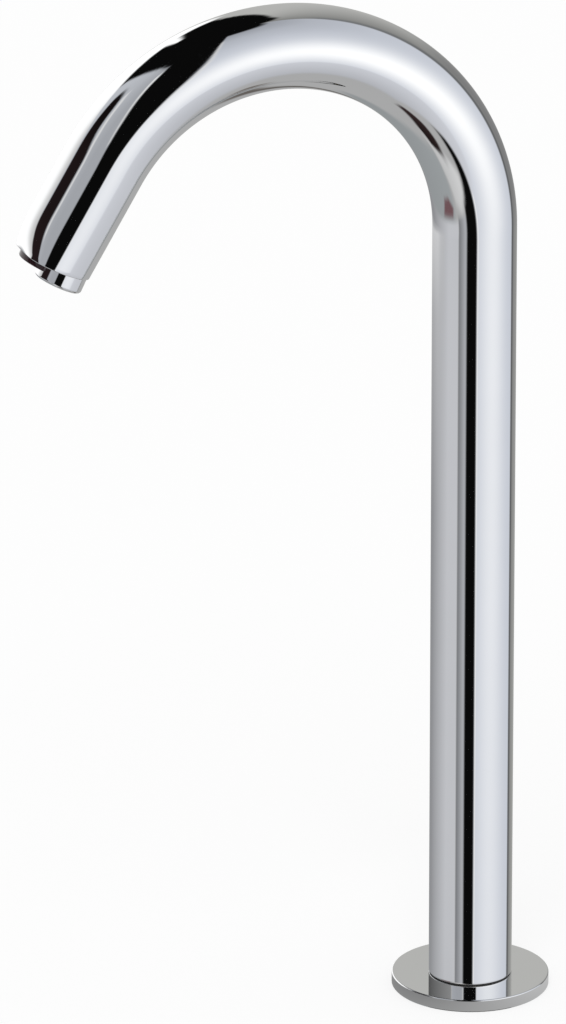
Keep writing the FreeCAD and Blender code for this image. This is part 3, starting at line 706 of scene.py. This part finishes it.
# the outlet sleeve, turned about its own slanted axis
nose = {
    "radius": 8.2,
    "length": 5.8,
    "gap": 0.25,
    "edgeRound": 1.1,
    "neckRadius": 6.5,
    "neckLength": 6.0,
    "threadDepth": 0.5,
    "threadTop": -0.5,
    "pitch": 1.0,
    "runOut": 0.6,
    "bore": 5.25,
    "outlet": 4.7,
    "lip": 1.2,
}


def makeNose():
    gap, radius, bore, outlet = (nose[size] for size in ("gap", "radius", "bore", "outlet"))
    face, neck = gap + nose["length"], -nose["neckLength"]
    root = nose["neckRadius"] - nose["threadDepth"]
    thread = {"pitch": nose["pitch"], "crest": nose["neckRadius"], "runOut": nose["runOut"]}
    turned("outletSleeve", [
        (root, nose["threadTop"], 0), (root, gap, 0.05), (radius, gap, 0.2),
        (radius, face, nose["edgeRound"]), (outlet, face, 0.35),
        (outlet, face - nose["lip"], 0.1), (bore, face - nose["lip"], 0.05), (bore, neck, 0.1),
        (root, neck, 0),
    ], thread, place=nosePlace, around=128)


makeNose()

# the sensor's window: a dark plate with the outline of a D, and a plug up into the case
window = {
    "flat": 4.2,
    "inset": 0.3,
    "gap": 0.05,
    "thickness": 2.0,
    "edgeRound": 0.5,
    "cornerRound": 0.8,
    "plugFlat": 4.3,
    "plugInset": 1.75,
    "plugReach": 3.15,  # up into the case
    "plugFoot": 1.3,  # down into the plate
    "plateEdge": ((0.15, 0), (0.04, 0.04), (0, 0.15)),  # how far in, and how far along
    "plugEdge": ((0.2, 0), (0.06, 0.06), (0, 0.2)),
}


def outlineD(flat, radius, inset, points=64, cornerPoints=8):
    # an arc about the squeezed end's axis, cut off by a straight side, with rounded corners
    middle = -endSqueeze
    flat, radius = flat + inset, radius - inset
    corner = max(window["cornerRound"] - inset, 0.05)
    bow, left = radius - corner, flat + corner
    height = math.sqrt(bow * bow - (left - middle) ** 2)
    turn = math.atan2(height, left - middle)
    arc = [turn * (2 * step / points - 1) for step in range(points + 1)]
    path = [(middle + radius * math.cos(angle), radius * math.sin(angle)) for angle in arc]
    bends = [turn + (math.pi - turn) * (step + 1) / cornerPoints for step in range(cornerPoints)]
    for side, angles in ((1, bends), (-1, bends[-2::-1])):
        path += [(left + corner * math.cos(angle), side * (height + corner * math.sin(angle)))
                 for angle in angles]
    return path


def makeWindow():
    radius = spout["radius"] - endSqueeze - window["inset"]
    top, size = window["gap"], window["edgeRound"]
    face = top + window["thickness"]
    levels = [(inset, top + along) for inset, along in window["plateEdge"]]
    for step in range(9):
        angle = math.radians(step * 90 / 8)
        levels.append((size * (1 - math.cos(angle)), face - size * (1 - math.sin(angle))))
    levels.append((size + 0.05, face))
    plate = stackOutlines("sensorWindow", lambda inset: outlineD(window["flat"], radius, inset),
                          levels, rimPlace)
    top, radius = spout["tail"] - window["plugReach"], radius - window["plugInset"]
    levels = [(inset, top + along) for inset, along in window["plugEdge"]]
    levels.append((0, spout["tail"] + window["plugFoot"]))
    plug = stackOutlines("windowPlug", lambda inset: outlineD(window["plugFlat"], radius, inset),
                         levels, tailPlace)
    finishPiece(joinMeshes(plate, plug))


makeWindow()
print("spout end made")

# below the deck: the shank, the socket it screws into, the water inlet and the lead's bush,
# turned from outlines of (across, height, rounding) corners
shank = {
    "threadedShank": {
        "outline": [(10.1, 23.2, 0), (8.75, 23.2, 0.2), (8.75, -62, 0.2), (10.1, -62, 0)],
        "thread": {"pitch": 1.5, "crest": 11.0, "runOut": 0.9},
        "around": 80,
    },
    "footSocket": {
        "outline": band(11.08, 12.75, 5.2, 25.2, 0.3, 0.3),
        "around": 96,
        "steps": 3,
    },
    "inletNipple": {
        "outline": [
            (4.4, -63.5, 0), (3.9, -63.5, 0), (3.9, -52, 0.1), (2.35, -52, 0.1),
            (2.35, -47.5, 0), (2.7, -47.5, 0.08), (2.35, -43, 0.1), (1.8, -43, 0.1),
            (1.8, -73.5, 0.2), (4.4, -73.5, 0)],
        "thread": {"pitch": 1.0, "crest": 5.0, "runOut": 0.7},
        "place": hosePlace,
        "around": 64,
    },
    "cableGland": {
        "outline": [(1.55, -64.7, 0.15), (2.9, -64.7, 0.45), (2.9, -63.5, 0.1),
                    (2.3, -63.5, 0), (2.3, -52, 0.1), (1.55, -52, 0.1)],
        "place": Matrix.Translation((5.8, 0, 0)),
        "around": 64,
    },
}
for name, how in shank.items():
    turned(name, **how)

# what clamps the tap to the deck
clamp = {
    "rubberTop": -30.0,
    "rubberHeight": 3.0,
    "rubberOuter": 22.0,
    "grooves": (19.0, 16.6, 14.2),
    "grooveDepth": 0.5,
    "grooveWidth": 0.9,
    "grooveSlope": 0.2,
    "steelHeight": 1.6,
    "steelOuter": 21.0,
    "washerInner": 11.3,
    "nutTop": -34.7,
    "nutHeight": 7.0,
    "nutFlats": 30.0,
    "nutChamfer": 1.2,
    "chamferSlope": 2.0,  # how far out the chamfer goes as it falls
    "cornerBreak": 0.12,
    "nutCrest": 11.08,
    "nutRoot": 11.95,
    "runOut": 0.8,
}


def makeClamp():
    inner, top, outer = clamp["washerInner"], clamp["rubberTop"], clamp["rubberOuter"]
    low, deep = top - clamp["rubberHeight"], top - clamp["grooveDepth"]
    ribs = [(inner, top, 0.2), (inner, low, 0.2), (outer, low, 0.5), (outer, top, 0.5)]
    slope = clamp["grooveSlope"]
    for start in clamp["grooves"]:  # they grip the deck
        end = start + clamp["grooveWidth"]
        ribs += [(end, top, 0.1), (end - slope, deep, 0), (start + slope, deep, 0),
                 (start, top, 0.1)]
    turned("rubberWasher", ribs, steps=3)
    foot, outer = low - clamp["steelHeight"], clamp["steelOuter"]
    turned("steelWasher", [(inner, foot, 0.1), (outer, foot, 0.35), (outer, low, 0.12),
                           (inner, low, 0.1)], steps=3)
    flats, root, top = clamp["nutFlats"], clamp["nutRoot"], clamp["nutTop"]
    foot, corner = top - clamp["nutHeight"], flats / math.sqrt(3)
    rows = [(corner - clamp["nutChamfer"] + drop * clamp["chamferSlope"], top - drop, 0)
            for drop in (0, 0.06, 0.12, 0.2, 0.3, 0.4, 0.5, 0.62)]
    rows += [(x, top + foot - z, 0) for x, z, _ in reversed(rows)]
    thread = {"pitch": shank["threadedShank"]["thread"]["pitch"], "crest": clamp["nutCrest"],
              "runOut": clamp["runOut"]}

    def sides(x, z, angle):
        # the hexagon with its corners broken, while the bore stays round
        if x < root + 1:
            return x
        return min(x, hexagon(flats, angle), corner - clamp["cornerBreak"])

    turned("lockNut", [(root, top, 0), *rows, (root, foot, 0)], thread, around=120, shape=sides)


makeClamp()
print("fixing made")

# inside the spout: crimped sleeves on the hose's ends, the nipple, its seal and the screw
upperPlace = tailPlace @ hosePlace
fittings = {
    "ferruleInner": 4.05,
    "ferruleOuter": 4.55,
    "ferruleLength": 8.5,
    "crimps": 3,
    "crimpDepth": 0.22,
    "crimpReach": 0.7,  # half of it, along the sleeve
    "dentReach": 0.35,
    "lowerFoot": -51.9,
    "upperFoot": 5.7,
    "nipple": [
        (1.8, 23.6, 0.1), (3.4, 23.6, 0.3), (3.4, 15.8, 0.05), (4.5, 15.8, 0.15),
        (4.5, 14.3, 0.15), (2.35, 14.3, 0.1), (2.35, 9.8, 0), (2.7, 9.8, 0.08),
        (2.35, 5.3, 0.1), (1.8, 5.3, 0.1)],
    "seal": band(3.45, 4.5, 15.8, 16.6, 0.2, 0.3),
    "screwRadius": 1.5,
    "screwLength": 4.0,
    "keyFlats": 1.3,
    "keyDepth": 1.5,
    "keyOuter": 0.7,
    "screwAt": 23.6,
    "screwFace": -13.7,
}


def makeFittings():
    inner, outer, length = (fittings["ferrule" + size] for size in ("Inner", "Outer", "Length"))
    dent, wide, deep = (outer - fittings["crimpDepth"], fittings["crimpReach"],
                        fittings["dentReach"])
    for name, foot, place in (("lowerFerrule", fittings["lowerFoot"], hosePlace),
                              ("upperFerrule", fittings["upperFoot"], upperPlace)):
        top = foot + length
        outline = [(outer, top, 0.12), (inner, top, 0.1), (inner, foot, 0.1), (outer, foot, 0.12)]
        for crimp in range(fittings["crimps"]):
            at = foot + (crimp + 0.5) * length / fittings["crimps"]
            outline += [(outer, at - wide, 0.3), (dent, at - deep, 0.25), (dent, at + deep, 0.25),
                        (outer, at + wide, 0.3)]
        turned(name, outline, place=place, around=72, steps=4)
    turned("blockNipple", fittings["nipple"], sharp=32, place=upperPlace, around=72, steps=3)
    turned("nippleSeal", fittings["seal"], place=upperPlace, around=72)
    deep, radius, length = fittings["keyDepth"], fittings["screwRadius"], fittings["screwLength"]
    key = fittings["keyOuter"]

    def socket(x, z, angle):
        # the hexagon for the key
        return min(x, hexagon(fittings["keyFlats"], angle)) if 0.5 < x < key + 0.1 else x

    turned("blockScrew", [
        (0, deep + 0.3, 0), (key, deep, 0), (key + 0.01, 0.05, 0), (key + 0.2, 0, 0),
        (radius, 0, 0.2), (radius, length, 0.4), (0, length, 0),
    ], sharp=32, around=72, steps=3, shape=socket,
        place=tailPlace @ placeInSpout(fittings["screwFace"], fittings["screwAt"], 90))


makeFittings()

# the sensor's domed diodes, standing on the board: across, radius and height
diodes = {
    "foot": 26.7,
    "outward": 5.05,
    "rimHeight": 0.8,
    "rim": 0.15,
    "dome": 0.9,  # as a share of the radius
    "kinds": {
        "irEmitter": (-3.5, 1.35, 5.0),
        "irReceiver": (3.5, 1.35, 5.0),
        "statusLight": (0.0, 0.9, 3.4),
    },
}


def makeDiodes():
    foot = diodes["foot"]
    for name, (side, radius, height) in diodes["kinds"].items():
        wide, rim, top = radius + diodes["rim"], foot + diodes["rimHeight"], foot + height
        turned(name, [
            (0, foot, 0), (wide, foot, 0.05), (wide, rim, 0.08), (radius, rim, 0),
            (radius, top, diodes["dome"] * radius), (0, top, 0),
        ], place=tailPlace @ Matrix.Translation((diodes["outward"], side, 0)), sharp=50,
            around=48, steps=8)


makeDiodes()
print("fittings and sensor made")

# the aerator's insert: washer, flow disc and the woven gauze at the outlet
aerator = {
    "washer": band(3.6, 6.25, -7.3, -6.1, 0.25, 0.3),
    "disc": [(1.1, -5.1, 0.25), (5.1, -5.1, 0.15), (5.1, -4.1, 0.15), (2.4, -4.1, 0.2),
             (2.2, -4.4, 0.1), (1.1, -4.4, 0.1)],
    "gauzeRadius": 4.2,
    "gauzeRim": 4.15,
    "gauzeSpacing": 0.46,
    "wireRadius": 0.075,
    "weave": 0.08,
    "gauzeTop": 4.575,
    "gauzeStep": -0.8,
    "gauzeCount": 3,
    "wireSides": 5,
    "rimSides": 8,
    "rimFaces": 96,
}


def gauzeTree(sizes):
    # a plain weave: wires one way, the same wires turned across them, and discs in a stack
    tree, given, (spacing, disc, wire, weave, step, rim) = shapeTree("weaveGauze", sizes)

    def line(count, start, offset):
        return addNode(tree, "GeometryNodeMeshLine", {
            "Count": count, "Start Location": addNode(tree, "ShaderNodeCombineXYZ", start),
            "Offset": addNode(tree, "ShaderNodeCombineXYZ", offset)})

    def onPoints(points, instance):
        return addNode(tree, "GeometryNodeInstanceOnPoints",
                       {"Points": points, "Instance": instance})

    def ringOf(radius, resolution):
        return addNode(tree, "GeometryNodeCurvePrimitiveCircle",
                       {"Resolution": resolution, "Radius": radius})

    def tube(curve, resolution):
        return addNode(tree, "GeometryNodeCurveToMesh", {
            "Curve": curve, "Profile Curve": ringOf(wire, resolution), "Fill Caps": True})

    half = (disc / spacing).roundUp()
    start = half * spacing * -1
    across = line(half * 2 + 1, (0, start, 0), (0, spacing, 0))
    alongWire = line(half * 8 + 1, (start, 0, 0), (spacing / 4, 0, 0))
    real = addNode(tree, "GeometryNodeRealizeInstances", [onPoints(across, alongWire)])
    x, y, _ = splitPosition(tree)
    wave = (x / spacing * math.pi).cos() * (y / spacing * math.pi).cos() * weave
    lift = movePoints(tree, real, "Offset", 0, 0, wave)
    outside = x * x + y * y > disc * disc
    trim = addNode(tree, "GeometryNodeDeleteGeometry", {"Geometry": lift, "Selection": outside})
    wires = tube(addNode(tree, "GeometryNodeMeshToCurve", [trim]),
                 aerator["wireSides"])
    crossed = addNode(tree, "GeometryNodeTransform",
                      {"Geometry": wires, "Rotation": (math.pi, 0, math.pi / 2)})
    both = tree.nodes.new("GeometryNodeJoinGeometry")
    edge = tube(ringOf(rim, aerator["rimFaces"]), aerator["rimSides"])
    for part in (wires, crossed, edge):
        tree.links.new(part.outputs[0], both.inputs[0])
    discs = line(aerator["gauzeCount"], (0, 0, 0), (0, 0, step))
    return closeTree(tree, given, onPoints(discs, both))


def makeAerator():
    turned("aeratorWasher", aerator["washer"], place=nosePlace, around=96)
    turned("flowDisc", aerator["disc"], place=nosePlace, around=96)
    sizes = {
        "Spacing": aerator["gauzeSpacing"],
        "Disc Radius": aerator["gauzeRadius"],
        "Wire Radius": aerator["wireRadius"],
        "Weave": aerator["weave"],
        "Disc Step": aerator["gauzeStep"],
        "Rim Radius": aerator["gauzeRim"],
    }
    gauze = runTree(addItem("outletGauze", newMesh("outletGauze", [], [])), gauzeTree(sizes),
                    sizes, finishOf("outletGauze"))
    moveMesh(gauze, nosePlace @ Matrix.Translation((0, 0, aerator["gauzeTop"])))
    gauze.data.polygons.foreach_set("use_smooth", [True] * len(gauze.data.polygons))
    finishPiece(gauze)


makeAerator()
print("aerator made")

# moulded and bent parts that keep the solid model's shape: a merged, smooth copy of each,
# with its edges broken by so many millimetres. Angles are in degrees
copying = {
    "flatWithin": 0.6,
    "bevelPast": 50,
    "bevelSteps": 2,
    "sharpPast": 40,
}
mouldings = {
    "shankPlug": 0.25,
    "waterHose": 0.15,
    "sensorLead": 0.1,
    "outletBlock": 0.2,
    "sensorCase": 0.12,
    "sensorBoard": 0.06,
    "casePotting": 0.15,
    "leadBoot": 0.12,
    "inletStrainer": 0.05,
    "aeratorCartridge": 0.12,
}


def smoothCopy(name, edge):
    whole = bmesh.new()
    whole.from_mesh(frame["nodes"][nodeOf(name)].data)
    bmesh.ops.remove_doubles(whole, verts=whole.verts, dist=sameSpot)
    bmesh.ops.dissolve_limit(whole, angle_limit=math.radians(copying["flatWithin"]),
                             verts=whole.verts, edges=whole.edges)
    mesh = bpy.data.meshes.new(name)
    whole.to_mesh(mesh)
    whole.free()
    item = addItem(name, mesh)
    broken = item.modifiers.new("brokenEdges", "BEVEL")
    broken.width = edge * millimetre
    broken.segments = copying["bevelSteps"]
    broken.limit_method = "ANGLE"
    broken.angle_limit = math.radians(copying["bevelPast"])
    faceOutwards(settle(item).data)
    finishPiece(shadeByAngle(item, copying["sharpPast"]))


for name, edge in mouldings.items():
    smoothCopy(name, edge)
print("mouldings copied")

# the studio: a pale floor, a light tent that only reflections see, lamps and the camera

# panels of the tent, painted in this order. Corners are (azimuth, elevation) in degrees:
# azimuth 0 is towards -Y and 90 towards +X. Shades are stops along one of the two.
tent = {
    "radius": 8.0,
    "step": 1.5,
    "ceiling": 0.04,
    "gain": 1.035,  # makes up for what the chrome swallows
    "panels": {
        "floor": {
            "soft": 4, "shades": [(-85, 0.66), (-20, 0.655)], "along": 1,
            "corners": [(-190, -17), (190, -17), (190, -95), (-190, -95)],
        },
        "floorLeft": {
            "soft": 12, "shades": [(-180, 0.58), (-80, 0.61)], "tint": (0.975, 1.0, 1.01),
            "corners": [(-192, -21), (-72, -21), (-74, -58), (-120, -67), (-192, -62)],
        },
        "floorPale": {
            "soft": 8, "shades": [(-70, 0.74), (-40, 0.8)],
            "corners": [(-64, -31), (-50, -26), (-36, -30), (-30, -36), (-40, -45), (-52, -46),
                (-60, -56), (-70, -63), (-72, -46)],
        },
        "floorBright": {
            "soft": 9, "shades": [(-62, 0.69), (-40, 0.76), (-20, 0.82)], "along": 1,
            "tint": (0.98, 0.99, 1.02),
            "corners": [(-14, -14), (97, -14), (94, -40), (78, -52), (30, -58), (-10, -60)],
        },
        "sill": {
            "soft": 4, "shades": [(-165, 0.56), (-130, 0.665), (-95, 0.76)],
            "tint": (0.99, 0.995, 1.015),
            "corners": [(-200, -8), (-64, -8), (-64, -24), (-200, -24)],
        },
        "leftWindow": {
            "soft": 2.5, "shades": [(-130, 0.75), (-90, 0.71), (-58, 0.645)],
            "tint": (0.975, 0.99, 1.02),
            "corners": [(-144, -16), (-144, 34), (-138, 43), (-130, 49), (-120, 55), (-109, 59),
                (-97, 62), (-82, 64), (-60, 63), (-54, 58), (-51, 50), (-46, 40), (-41, 31),
                (-38, 22), (-37, 10), (-41, 0), (-45, -10), (-45, -16)],
        },
        "windowEdge": {
            "soft": 2, "shades": [(20, 0.8), (60, 0.88)], "along": 1,
            "corners": [(-59, 61), (-54, 56), (-48, 43), (-42, 32), (-39, 22), (-41, 22), (-45, 32),
                (-52, 44), (-60, 57)],
        },
        "whiteBox": {
            "soft": 4, "shades": [(205, 1.03), (222, 0.98), (236, 0.82), (248, 0.74)],
            "corners": [(168, -17), (169, 14), (172, 22), (180, 27), (190, 33), (202, 36),
                (216, 37), (226, 34), (238, 28), (248, 18), (252, -17)],
        },
        "whiteSpot": {
            "soft": 2, "shades": [(180, 1.02)],
            "corners": [(180, 22), (186, 36), (192, 46), (195, 46), (191, 36), (186, 26)],
        },
        "darkScreen": {
            "soft": 4, "shades": [(18, 0.105), (38, 0.06)], "along": 1, "tint": (1.25, 0.93, 0.97),
            "corners": [(-121, 42), (-118, 47), (-110, 49), (-102, 48), (-96, 44), (-91, 36),
                (-80, 27), (-74, 12), (-73, -12), (-128, -12), (-117, 0), (-112, 12), (-114, 24),
                (-118, 33)],
        },
        "screenEdge": {
            "soft": 3, "shades": [(-90, 0.84)],
            "corners": [(-97, 49), (-90, 44), (-82, 33), (-74, 20), (-71, 20), (-77, 34), (-86, 47),
                (-94, 52)],
        },
        "rightWall": {
            "soft": 2.5, "shades": [(104, 0.5), (122, 0.57), (158, 0.7)], "tint": (1.0, 1.0, 0.985),
            "corners": [(94, -27), (94, 80), (104, 79), (118, 74), (130, 70), (142, 68), (152, 62),
                (160, 55), (166, 47), (170, 39), (173, 31), (172, 22), (169, 14), (168, -26)],
        },
        "wallFoot": {
            "soft": 12, "shades": [(110, 0.47), (150, 0.53)],
            "corners": [(112, -16), (150, -18), (148, 2), (128, 16), (112, 20)],
        },
        "softBox": {
            "soft": 3, "along": 1, "tint": (0.965, 0.985, 1.03),
            "core": {"azimuth": 32, "elevation": 2, "across": 38, "up": 24, "shade": 1.03},
            "shades": [(-20, 0.8), (20, 0.81), (45, 0.775), (65, 0.715), (78, 0.63)],
            "corners": [(-12, 80), (-10, 70), (-7, 55), (-4.5, 38), (-3, 22), (-3, 8), (-6, -2),
                (-10, -10), (-13, -17), (-13, -25), (101, -25), (101, 79)],
        },
        "boxEdge": {
            "soft": 1.6, "shades": [(0, 0.92), (70, 0.8)], "along": 1,
            "corners": [(-10.5, 70), (-4.5, 40), (-2.5, 22), (-2.5, 6), (-5.5, -3), (-9.5, -11),
                (-12, -17), (-12, -25), (-9.5, -25), (-9.5, -17), (-7, -10), (-3.5, -2), (-1, 6),
                (-1, 22), (-3, 40), (-8.5, 70)],
        },
        "wallCorner": {
            "soft": 9, "shades": [(-20, 0.34), (60, 0.46)], "along": 1, "tint": (0.985, 1.0, 1.02),
            "corners": [(102, -30), (102, 62), (109, 62), (110, -30)],
        },
        "midBand": {
            "soft": 3, "shades": [(-61, 0.49), (-46, 0.66)], "tint": (0.985, 0.995, 1.02),
            "corners": [(-63, -10), (-40, -10), (-40, -25), (-63, -25)],
        },
        "gap": {
            "soft": 5, "shades": [(0, 0.04)],
            "corners": [(-44, -4), (-41, -17), (-40.5, -28), (-34, -30), (-27, -33), (-20, -41),
                (-14, -44), (-11.5, -38), (-13, -28), (-13.5, -18), (-8, -6), (-5, 3), (-5, 12),
                (-36, 12)],
        },
        "redPatch": {
            "soft": 4, "shades": [(0, 0.36)], "tint": (1.2, 0.9, 0.94),
            "corners": [(-111, -26), (-79, -26), (-75, -30), (-88, -35), (-103, -34)],
        },
        "darkPatch": {
            "soft": 5, "shades": [(-55, 0.1), (-25, 0.16)], "tint": (1.25, 0.95, 0.95),
            "corners": [(-62, -57), (-53, -51), (-45, -48), (-37, -50), (-28, -55), (-20, -64),
                (-28, -69), (-42, -67), (-56, -65)],
        },
        "farStreak": {
            "soft": 5, "shades": [(80, 0.42), (150, 0.34)], "tint": (1.04, 0.99, 0.95),
            "corners": [(74, -62), (95, -57), (115, -55), (136, -53), (150, -49), (160, -43),
                (166, -34), (170, -36), (165, -46), (154, -54), (138, -59), (118, -63), (98, -66),
                (78, -67)],
        },
        "nearStreak": {
            "soft": 5, "shades": [(0, 0.37)],
            "corners": [(88, -76), (118, -75), (128, -79), (112, -84), (88, -83)],
        },
        "dimSide": {
            "soft": 6, "shades": [(-172, 0.34), (-75, 0.54)], "twice": True,
            "corners": [(-205, 4), (-73, 4), (-73, 46), (-205, 46)],
        },
    },
}


def softEdge(distance, soft):
    share = np.clip(0.5 + distance / soft, 0, 1)
    return share * share * (3 - 2 * share)


def insideBy(azimuth, elevation, corners):
    # how far each direction lies inside the outline, in degrees, and outside it as a minus
    inside = np.zeros(len(azimuth), bool)
    nearest = np.full(len(azimuth), np.inf)
    for (a, b), (c, d) in zip(corners, corners[1:] + corners[:1]):
        length = (c - a) ** 2 + (d - b) ** 2
        share = np.clip(((azimuth - a) * (c - a) + (elevation - b) * (d - b)) / length, 0, 1)
        away = np.hypot(azimuth - a - share * (c - a), elevation - b - share * (d - b))
        nearest = np.minimum(nearest, away)
        if b != d:
            crosses = (b > elevation) != (d > elevation)
            inside ^= crosses & (azimuth < a + (elevation - b) / (d - b) * (c - a))
    return np.where(inside, nearest, -nearest)


def paintTent(azimuth, elevation, twice):
    # twice is for what is mirrored in the flange and then in the tube
    colour = np.full((len(azimuth), 3), toLinear(tent["ceiling"]))
    for panel in tent["panels"].values():
        if panel.get("twice") and not twice:
            continue
        middle = np.mean([corner[0] for corner in panel["corners"]])
        heading = (azimuth - middle + 180) % 360 - 180 + middle
        cover = softEdge(insideBy(heading, elevation, panel["corners"]), panel["soft"])[:, None]
        stops, shades = zip(*panel["shades"])
        shade = np.interp(elevation if panel.get("along") else heading, stops, shades)
        paint = toLinear(shade[:, None] * np.array(panel.get("tint", (1, 1, 1))) * tent["gain"])
        if "core" in panel:  # a lamp behind the cloth
            core = panel["core"]
            away = np.hypot((heading - core["azimuth"]) / core["across"],
                            (elevation - core["elevation"]) / core["up"])
            bright = np.exp(-away ** 2)[:, None]
            paint = paint * (1 - bright) + toLinear(core["shade"] * tent["gain"]) * bright
        colour = colour * (1 - cover) + paint * cover
    return colour


def stageMaterial(name):
    material = bpy.data.materials.new(name)
    material.use_nodes = True
    material.node_tree.nodes.clear()
    return material, material.node_tree


def onlyMirrored(item, material):
    # seen in reflections alone, and no lamp
    material.cycles.emission_sampling = "NONE"
    item.data.materials.append(material)
    for ray in ("camera", "diffuse", "shadow", "transmission"):
        setattr(item, "visible_" + ray, False)


def makeTent():
    step = tent["step"]
    columns, rows = round(360 / step), round(180 / step) + 1
    elevation, azimuth = (grid.ravel() for grid in np.meshgrid(
        np.arange(rows) * step - 90, np.arange(columns) * step - 180, indexing="ij"))
    up, turn = np.radians(elevation), np.radians(azimuth)
    verts = tent["radius"] * np.c_[np.cos(up) * np.sin(turn), -np.cos(up) * np.cos(turn),
                                   np.sin(up)]
    mesh = newMesh("lightTent", verts.tolist(), bridge(gridRings(rows, columns)))
    material, tree = stageMaterial("tentCloth")
    paints = []
    for name, twice in (("tentPaint", False), ("tentPaintTwice", True)):
        colour = np.c_[paintTent(azimuth, elevation, twice), np.ones(len(verts))]
        paint = mesh.attributes.new(name, "FLOAT_COLOR", "POINT")
        paint.data.foreach_set("color", colour.astype(np.float32).ravel())
        paints.append(addNode(tree, "ShaderNodeAttribute", attribute_name=name))
    again = rayTerm(tree, "Glossy Depth") > 1.5
    choice = addNode(tree, "ShaderNodeMix", data_type="RGBA", inputs={
        "Factor": again, "A": paints[0].outputs["Color"], "B": paints[1].outputs["Color"]})
    glow = addNode(tree, "ShaderNodeEmission", {"Color": choice.outputs["Result"]})
    addNode(tree, "ShaderNodeOutputMaterial", {"Surface": glow})
    onlyMirrored(addItem("lightTent", mesh), material)


# a painted reflection for the rim of the flange: a glowing ring that stands for the deck close
# round it, with painted shade darker on the left
deckRing = {
    "inner": 26.6,
    "outer": 38.0,
    "lift": 0.05,
    "left": 0.50,
    "right": 0.78,
    "seenWithin": 13.0,  # the rim is this near, the tube isn't
    "facesAround": 96,
}


def makePaintedDeckReflection():
    around = deckRing["facesAround"]
    turns = [2 * math.pi * step / around for step in range(around)]
    item = addMesh("deckRing", [
        (size * math.cos(turn), size * math.sin(turn), deckRing["lift"])
        for size in (deckRing["inner"], deckRing["outer"]) for turn in turns
    ], bridge(gridRings(2, around)))
    material, tree = stageMaterial("deckShade")
    split = addNode(tree, "ShaderNodeSeparateXYZ", [objectSpot(tree)])
    reach = deckRing["outer"] * millimetre
    # painted shade across the glowing ring: darker on the left, lighter on the right
    level = addNode(tree, "ShaderNodeMapRange", {
        "Value": split, "From Min": -reach, "From Max": reach,
        "To Min": float(toLinear(deckRing["left"])),
        "To Max": float(toLinear(deckRing["right"]))})
    glow = addNode(tree, "ShaderNodeEmission", {"Strength": level})
    far = rayTerm(tree, "Ray Length") > deckRing["seenWithin"] * millimetre
    clear = tree.nodes.new("ShaderNodeBsdfTransparent")
    sides = addNode(tree, "ShaderNodeMixShader", [far, glow, clear])
    addNode(tree, "ShaderNodeOutputMaterial", {"Surface": sides})
    onlyMirrored(item, material)


studio = {
    "floorSize": 40.0,
    "floorColour": (0.95, 0.95, 0.95),
    "mottle": 0.99,
    "mottleScale": 3.0,
    "floorLift": 0.75,  # how far the camera sees the floor as plain white
    "ambient": 0.78,
    "sunStrength": 0.85,
    "sunSpread": 30.0,
    "sunTurn": (32, -18, 0),
}


def makeFloor():
    half = studio["floorSize"] / 2
    corners = [(x * half, y * half, 0) for x, y in ((-1, -1), (1, -1), (1, 1), (-1, 1))]
    item = addItem("floor", newMesh("floor", corners, [(0, 1, 2, 3)]))
    material, tree = stageMaterial("paleFloor")
    mottle = addNode(tree, "ShaderNodeTexNoise", {
        "Vector": objectSpot(tree), "Scale": studio["mottleScale"], "Detail": 2.0})
    colour = studio["floorColour"]
    shades = addNode(tree, "ShaderNodeMix", data_type="RGBA", inputs={
        "Factor": mottle, "A": (*colour, 1),
        "B": (*[part * studio["mottle"] for part in colour], 1)})
    matt = addNode(tree, "ShaderNodeBsdfDiffuse", {"Color": shades.outputs["Result"]})
    white = addNode(tree, "ShaderNodeEmission", {"Color": (1, 1, 1, 1), "Strength": 1.0})
    lift = rayTerm(tree, "Is Camera Ray") * studio["floorLift"]
    blend = addNode(tree, "ShaderNodeMixShader", [lift, matt, white])
    below = tree.nodes.new("ShaderNodeNewGeometry")
    clear = tree.nodes.new("ShaderNodeBsdfTransparent")
    sides = addNode(tree, "ShaderNodeMixShader", [below.outputs["Backfacing"], blend, clear])
    addNode(tree, "ShaderNodeOutputMaterial", {"Surface": sides})
    item.data.materials.append(material)
    item.visible_glossy = False  # the tent stands for it in the chrome


def makeLights():
    world = bpy.data.worlds.new("studioWorld")
    world.use_nodes = True
    tree = world.node_tree
    seen, mirrored, through = (rayTerm(tree, f"Is {kind} Ray")
                               for kind in ("Camera", "Glossy", "Transmission"))
    level = addNode(tree, "ShaderNodeMapRange", {
        "Value": seen.atLeast(mirrored).atLeast(through), "To Min": studio["ambient"],
        "To Max": 1.0})
    back = tree.nodes["Background"]
    back.inputs["Color"].default_value = (1, 1, 1, 1)
    tree.links.new(level.outputs[0], back.inputs["Strength"])
    bpy.context.scene.world = world
    lamp = bpy.data.lights.new("keyLight", "SUN")
    lamp.energy = studio["sunStrength"]
    lamp.angle = math.radians(studio["sunSpread"])
    item = addItem("keyLight", lamp)
    item.rotation_euler = [math.radians(turn) for turn in studio["sunTurn"]]
    item.visible_glossy = False


# the camera of the photograph, fitted to the tap's outline, in metres and degrees
camera = {
    "position": (-1.23722, -3.37145, 1.52261),
    "azimuth": -19.143,
    "elevation": 20.645,
    "lens": 405.25,
    "sensor": 36.0,
    "near": 0.1,
    "far": 100.0,
}


def makeCamera():
    data = bpy.data.cameras.new("photoCamera")
    data.sensor_width, data.lens = camera["sensor"], camera["lens"]
    data.clip_start, data.clip_end = camera["near"], camera["far"]
    item = addItem("photoCamera", data)
    item.location = camera["position"]
    item.rotation_euler = (math.radians(90 - camera["elevation"]), 0,
                           math.radians(camera["azimuth"]))
    bpy.context.scene.camera = item


makeTent()
makePaintedDeckReflection()
makeFloor()
makeLights()
makeCamera()
bpy.context.scene.view_settings.view_transform = "Standard"
print("studio made")
